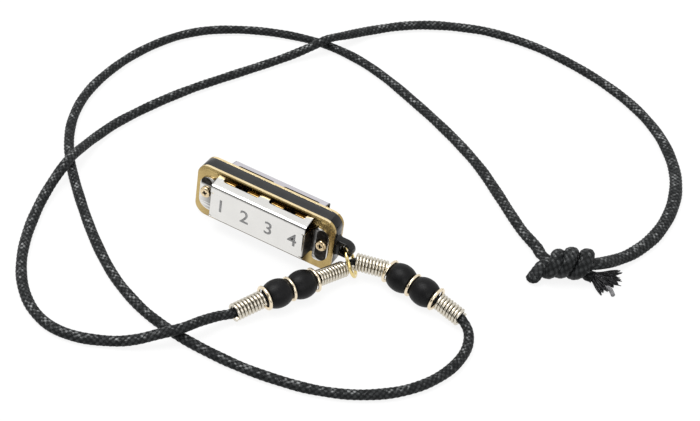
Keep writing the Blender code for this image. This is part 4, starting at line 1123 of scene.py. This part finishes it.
def makeCover(face, side):
    size = cover
    halfSheet, slack = size["sheet"] / 2, tolerance["side"]
    middle = (size["mouth"] + size["back"]) / 2
    top = size["rise"] - halfSheet
    halfWidth = (size["back"] - size["mouth"]) / 2 - halfSheet
    wall, wallRun = bendLine([(0, top), (halfWidth, top, size["fold"]), (halfWidth, 0)])
    neckX = size["half"] - halfSheet
    flangeX = neckX + size["slant"]
    neck, neckRun = bendLine([(0, top), (neckX, top, size["neckFold"]),
                              (flangeX, halfSheet, size["neckFold"]), (size["flangeEnd"], halfSheet)])
    flangeStart = np.interp(flangeX + size["flangeFrom"], neck[:, 0], neckRun)
    screwRun = np.interp(harp["screwX"], neck[:, 0], neckRun)
    holes = [circleOutline((end * screwRun, harp["screwZ"] - middle), harp["shank"] + size["holeGap"])
             for end in (-1, 1)]
    outline = coverOutline(face, wallRun[-1], flangeStart, neckRun[-1])
    sheet = flatPiece(f"nickelCover_{face}", [outline, *holes], 0)

    # fold lines across the flat sheet, with one line just outside each fold
    for axis, runs in ((1, wallRun), (0, neckRun)):
        marks = [runs[1] - size["foldMargin"], *runs[1:-1], runs[-2] + size["foldMargin"]]
        for run in [sign * mark for sign in (-1, 1) for mark in marks]:
            place, normal = [0, 0, 0], [0, 0, 0]
            place[axis], normal[axis] = run * mm, 1
            inEditMode(sheet, lambda: bpy.ops.mesh.bisect(plane_co=place, plane_no=normal,
                                                          threshold=tolerance["bisect"] * mm))

    seat = halfStack + harp["seat"]
    for vertex in sheet.data.vertices:
        run, width = vertex.co.x / mm, vertex.co.y / mm
        onFace = abs(run) <= size["half"] + slack
        inNeck = size["neckLow"] - slack <= width <= size["neckHigh"] + slack or not onFace
        x, y, z = run, top, width
        if inNeck:
            x = copysign(np.interp(abs(run), neckRun, neck[:, 0]), run)
            y = np.interp(abs(run), neckRun, neck[:, 1])
        if onFace:
            z = copysign(np.interp(abs(width), wallRun, wall[:, 0]), width)
            y = min(y, np.interp(abs(width), wallRun, wall[:, 1]))
            if width > 0:
                z += size["wallLean"] * max(0, 1 - y / top)
        vertex.co = Vector((x, side * (seat + y), z + middle)) * mm
    mergeDoubles(sheet, outward=False)
    thick = sheet.modifiers.new("sheet", "SOLIDIFY")
    thick.thickness = size["sheet"] * mm
    thick.offset = 0
    mergeDoubles(applyModifiers(sheet))
    smoothBy(breakEdges(sheet, size["edge"], 2, 55), 35)
    markPaintedReflection(sheet)
    paint(sheet, coverNickel if face == "front" else rearNickelShaded)
    hand(sheet, "harmonica", "cover_nickel", f"cover_{face}")
    print("cover made:", face)


numbers = {"size": 4.76, "bold": 0.06, "half": 0.02, "proud": 0.012, "z": 7.7}


def makeNumber(index, x):
    bpy.ops.object.text_add()
    text = pick(bpy.context.object)
    text.data.body = str(index + 1)
    text.data.align_x = "CENTER"
    text.data.align_y = "CENTER"
    text.data.size = numbers["size"]
    text.data.offset = numbers["bold"]
    text.data.extrude = numbers["half"]
    text.data.resolution_u = 6
    bpy.ops.object.convert(target="MESH")
    digit = bpy.context.object
    digit.name = f"holeNumber_{index + 1}"
    shrinkToScale(digit)
    y = numbers["half"] - numbers["proud"] - halfStack - harp["seat"] - cover["rise"]
    placeBy(digit, Matrix.Translation(Vector((x, y, numbers["z"])) * mm) @ standUp)
    hand(paint(digit, numberPrint), "harmonica", "cover_nickel")


# harmonica: screws; cross is the recess's length, and floorX and floorY narrow its floor
screw = {
    "head": 1.34, "rise": 0.7, "crown": 0.42, "shank": 0.55, "length": 1.9, "cross": 1.6, "slot": 0.46,
    "depth": 0.5, "floorX": 0.35, "floorY": 0.7, "rim": 0.45, "edge": 0.03, "overlap": 0.2,
    "turns": {"front_left": 20, "front_right": 8, "rear_left": 55, "rear_right": 31},
}


def makeScrews():
    size = screw
    top, arm, slot = size["rise"], size["cross"] / 2, size["slot"] / 2
    head = addRod("screwModel", size["head"], top, (0, 0, top / 2), sides=64)
    bevelWhere(head, lambda a, b: min(a.z, b.z) > top - tolerance["same"], size["crown"], 8)
    overlap = size["overlap"]
    shank = addRod("screwShank", size["shank"], size["length"] + overlap,
                   (0, 0, (overlap - size["length"]) / 2), sides=40)
    combine(head, "UNION", [shank])
    recess = []
    for turn in (0, 90):
        cutter = addBlock("crossCutter", (-arm, -slot, top - size["depth"]), (arm, slot, top + 0.3))
        for vertex in cutter.data.vertices:
            if vertex.co.z < top * mm:
                vertex.co.x *= size["floorX"]
                vertex.co.y *= size["floorY"]
        recess.append(placeBy(cutter, Matrix.Rotation(radians(turn), 4, "Z")))
    breakEdges(combine(head, "DIFFERENCE", recess), size["edge"])
    paint(smoothBy(head, 35), screwBrass, recessPaintedShade)
    # painted shade: the faces inside the cross recess get a near-black brown
    for face in head.data.polygons:
        spot = face.center / mm
        near, far = sorted((abs(spot.x), abs(spot.y)))
        face.material_index = int(near < slot + size["edge"] and far < min(arm, size["head"] - size["rim"])
                                  and 0 < spot.z < top - 0.05)
    outer = halfStack + 2 * harp["seat"] + cover["sheet"]
    for label, turn in size["turns"].items():
        face, end = label.split("_")
        side = -1 if face == "front" else 1
        x = -harp["screwX"] if end == "left" else harp["screwX"]
        twin = addPiece(f"coverScrew_{label}", head.data.copy())
        placeBy(twin, Matrix.Translation(Vector((x, side * outer, harp["screwZ"])) * mm)
                @ Matrix.Rotation(-side * pi / 2, 4, "X") @ Matrix.Rotation(radians(turn), 4, "Z"))
        hand(twin, "harmonica", "screw_brass", f"cover_screw_{label}")
    removePiece(head)
    print("screws made")


makeComb()
makePlate("front", -1)
makePlate("rear", 1)
print("reed plates made")
for face, faceY in (("front", -halfStack), ("rear", harp["comb"] / 2 + harp["seat"])):
    for index, x in enumerate(harp["cells"]):
        makeReed(face, index, x, faceY)
print("reeds and pads made")
makeCover("front", -1)
makeCover("rear", 1)
for index, x in enumerate(harp["cells"]):
    makeNumber(index, x)
print("hole numbers made")
makeScrews()

# floor, world and lamps
studio = {
    "floor": (0.86, 0.86, 0.86), "floorRough": 0.9, "floorWhite": 0.87, "floorSize": 6, "floorDrop": 0.03,
    "bright": 1.0, "dark": 0.08, "opening": (0.387, -0.922, 0.0), "openingFrom": 0.44, "openingFull": 0.68,
    "lampAim": (0, 0.02, 0),
    "lamps": {"key": {"place": (-0.25, -0.1, 0.75), "size": 0.5, "power": 5.0},
              "fill": {"place": (0.5, -0.5, 0.35), "size": 0.5, "power": 2.0}},
}


def mixShaders(skin, share, first, second, target):
    mix = addNode(skin, "MixShader", {0: share, 1: first.outputs[0], 2: second.outputs[0]})
    feed(skin, mix.outputs["Shader"], skin.node_tree.nodes[target].inputs["Surface"])


def makeFloor():
    bpy.ops.mesh.primitive_plane_add(size=studio["floorSize"], location=(0, 0, -studio["floorDrop"] * mm))
    floor = bpy.context.object
    floor.name = "studioFloor"
    skin = dress(newSkin("studioFloor"), (*studio["floor"], 1), studio["floorRough"])
    # camera, mirror and glass rays see plain white; other rays see the real surface
    rays = addNode(skin, "LightPath").outputs
    seen = calculate(skin, "MAXIMUM", rays["Is Camera Ray"], rays["Is Glossy Ray"])
    seen = calculate(skin, "MAXIMUM", seen, rays["Is Transmission Ray"])
    mixShaders(skin, times(skin, seen, studio["floorWhite"]), skin.node_tree.nodes["Principled BSDF"],
               addNode(skin, "Emission", {"Strength": 1}), "Material Output")
    paint(floor, skin)


def makeWorld():
    world = bpy.data.worlds.new("studioWorld")
    bpy.context.scene.world = world
    world.use_nodes = True
    # a bright tent that is open, and so dark, on its front side
    front = facingShare(world, addNode(world, "TexCoord").outputs["Generated"], studio["opening"])
    tent = ramp(world, front, (studio["openingFrom"], (studio["bright"],) * 3),
                (studio["openingFull"], (studio["dark"],) * 3))
    backdrop = world.node_tree.nodes["Background"]
    feed(world, tent, backdrop.inputs["Color"])
    feed(world, 1, backdrop.inputs["Strength"])
    mixShaders(world, addNode(world, "LightPath").outputs["Is Camera Ray"], backdrop,
               addNode(world, "Background", {"Strength": 1}), "World Output")


def makeLamps():
    for name, lamp in studio["lamps"].items():
        bpy.ops.object.light_add(type="AREA", location=lamp["place"])
        light = bpy.context.object
        light.name = name + "Lamp"
        light.data.shape = "SQUARE"
        light.data.size = lamp["size"]
        light.data.energy = lamp["power"]
        aim = Vector(studio["lampAim"]) - Vector(lamp["place"])
        light.rotation_euler = aim.to_track_quat("-Z", "Y").to_euler()


makeFloor()
makeWorld()
makeLamps()
print("studio made")

bpy.context.scene.view_settings.view_transform = "Standard"
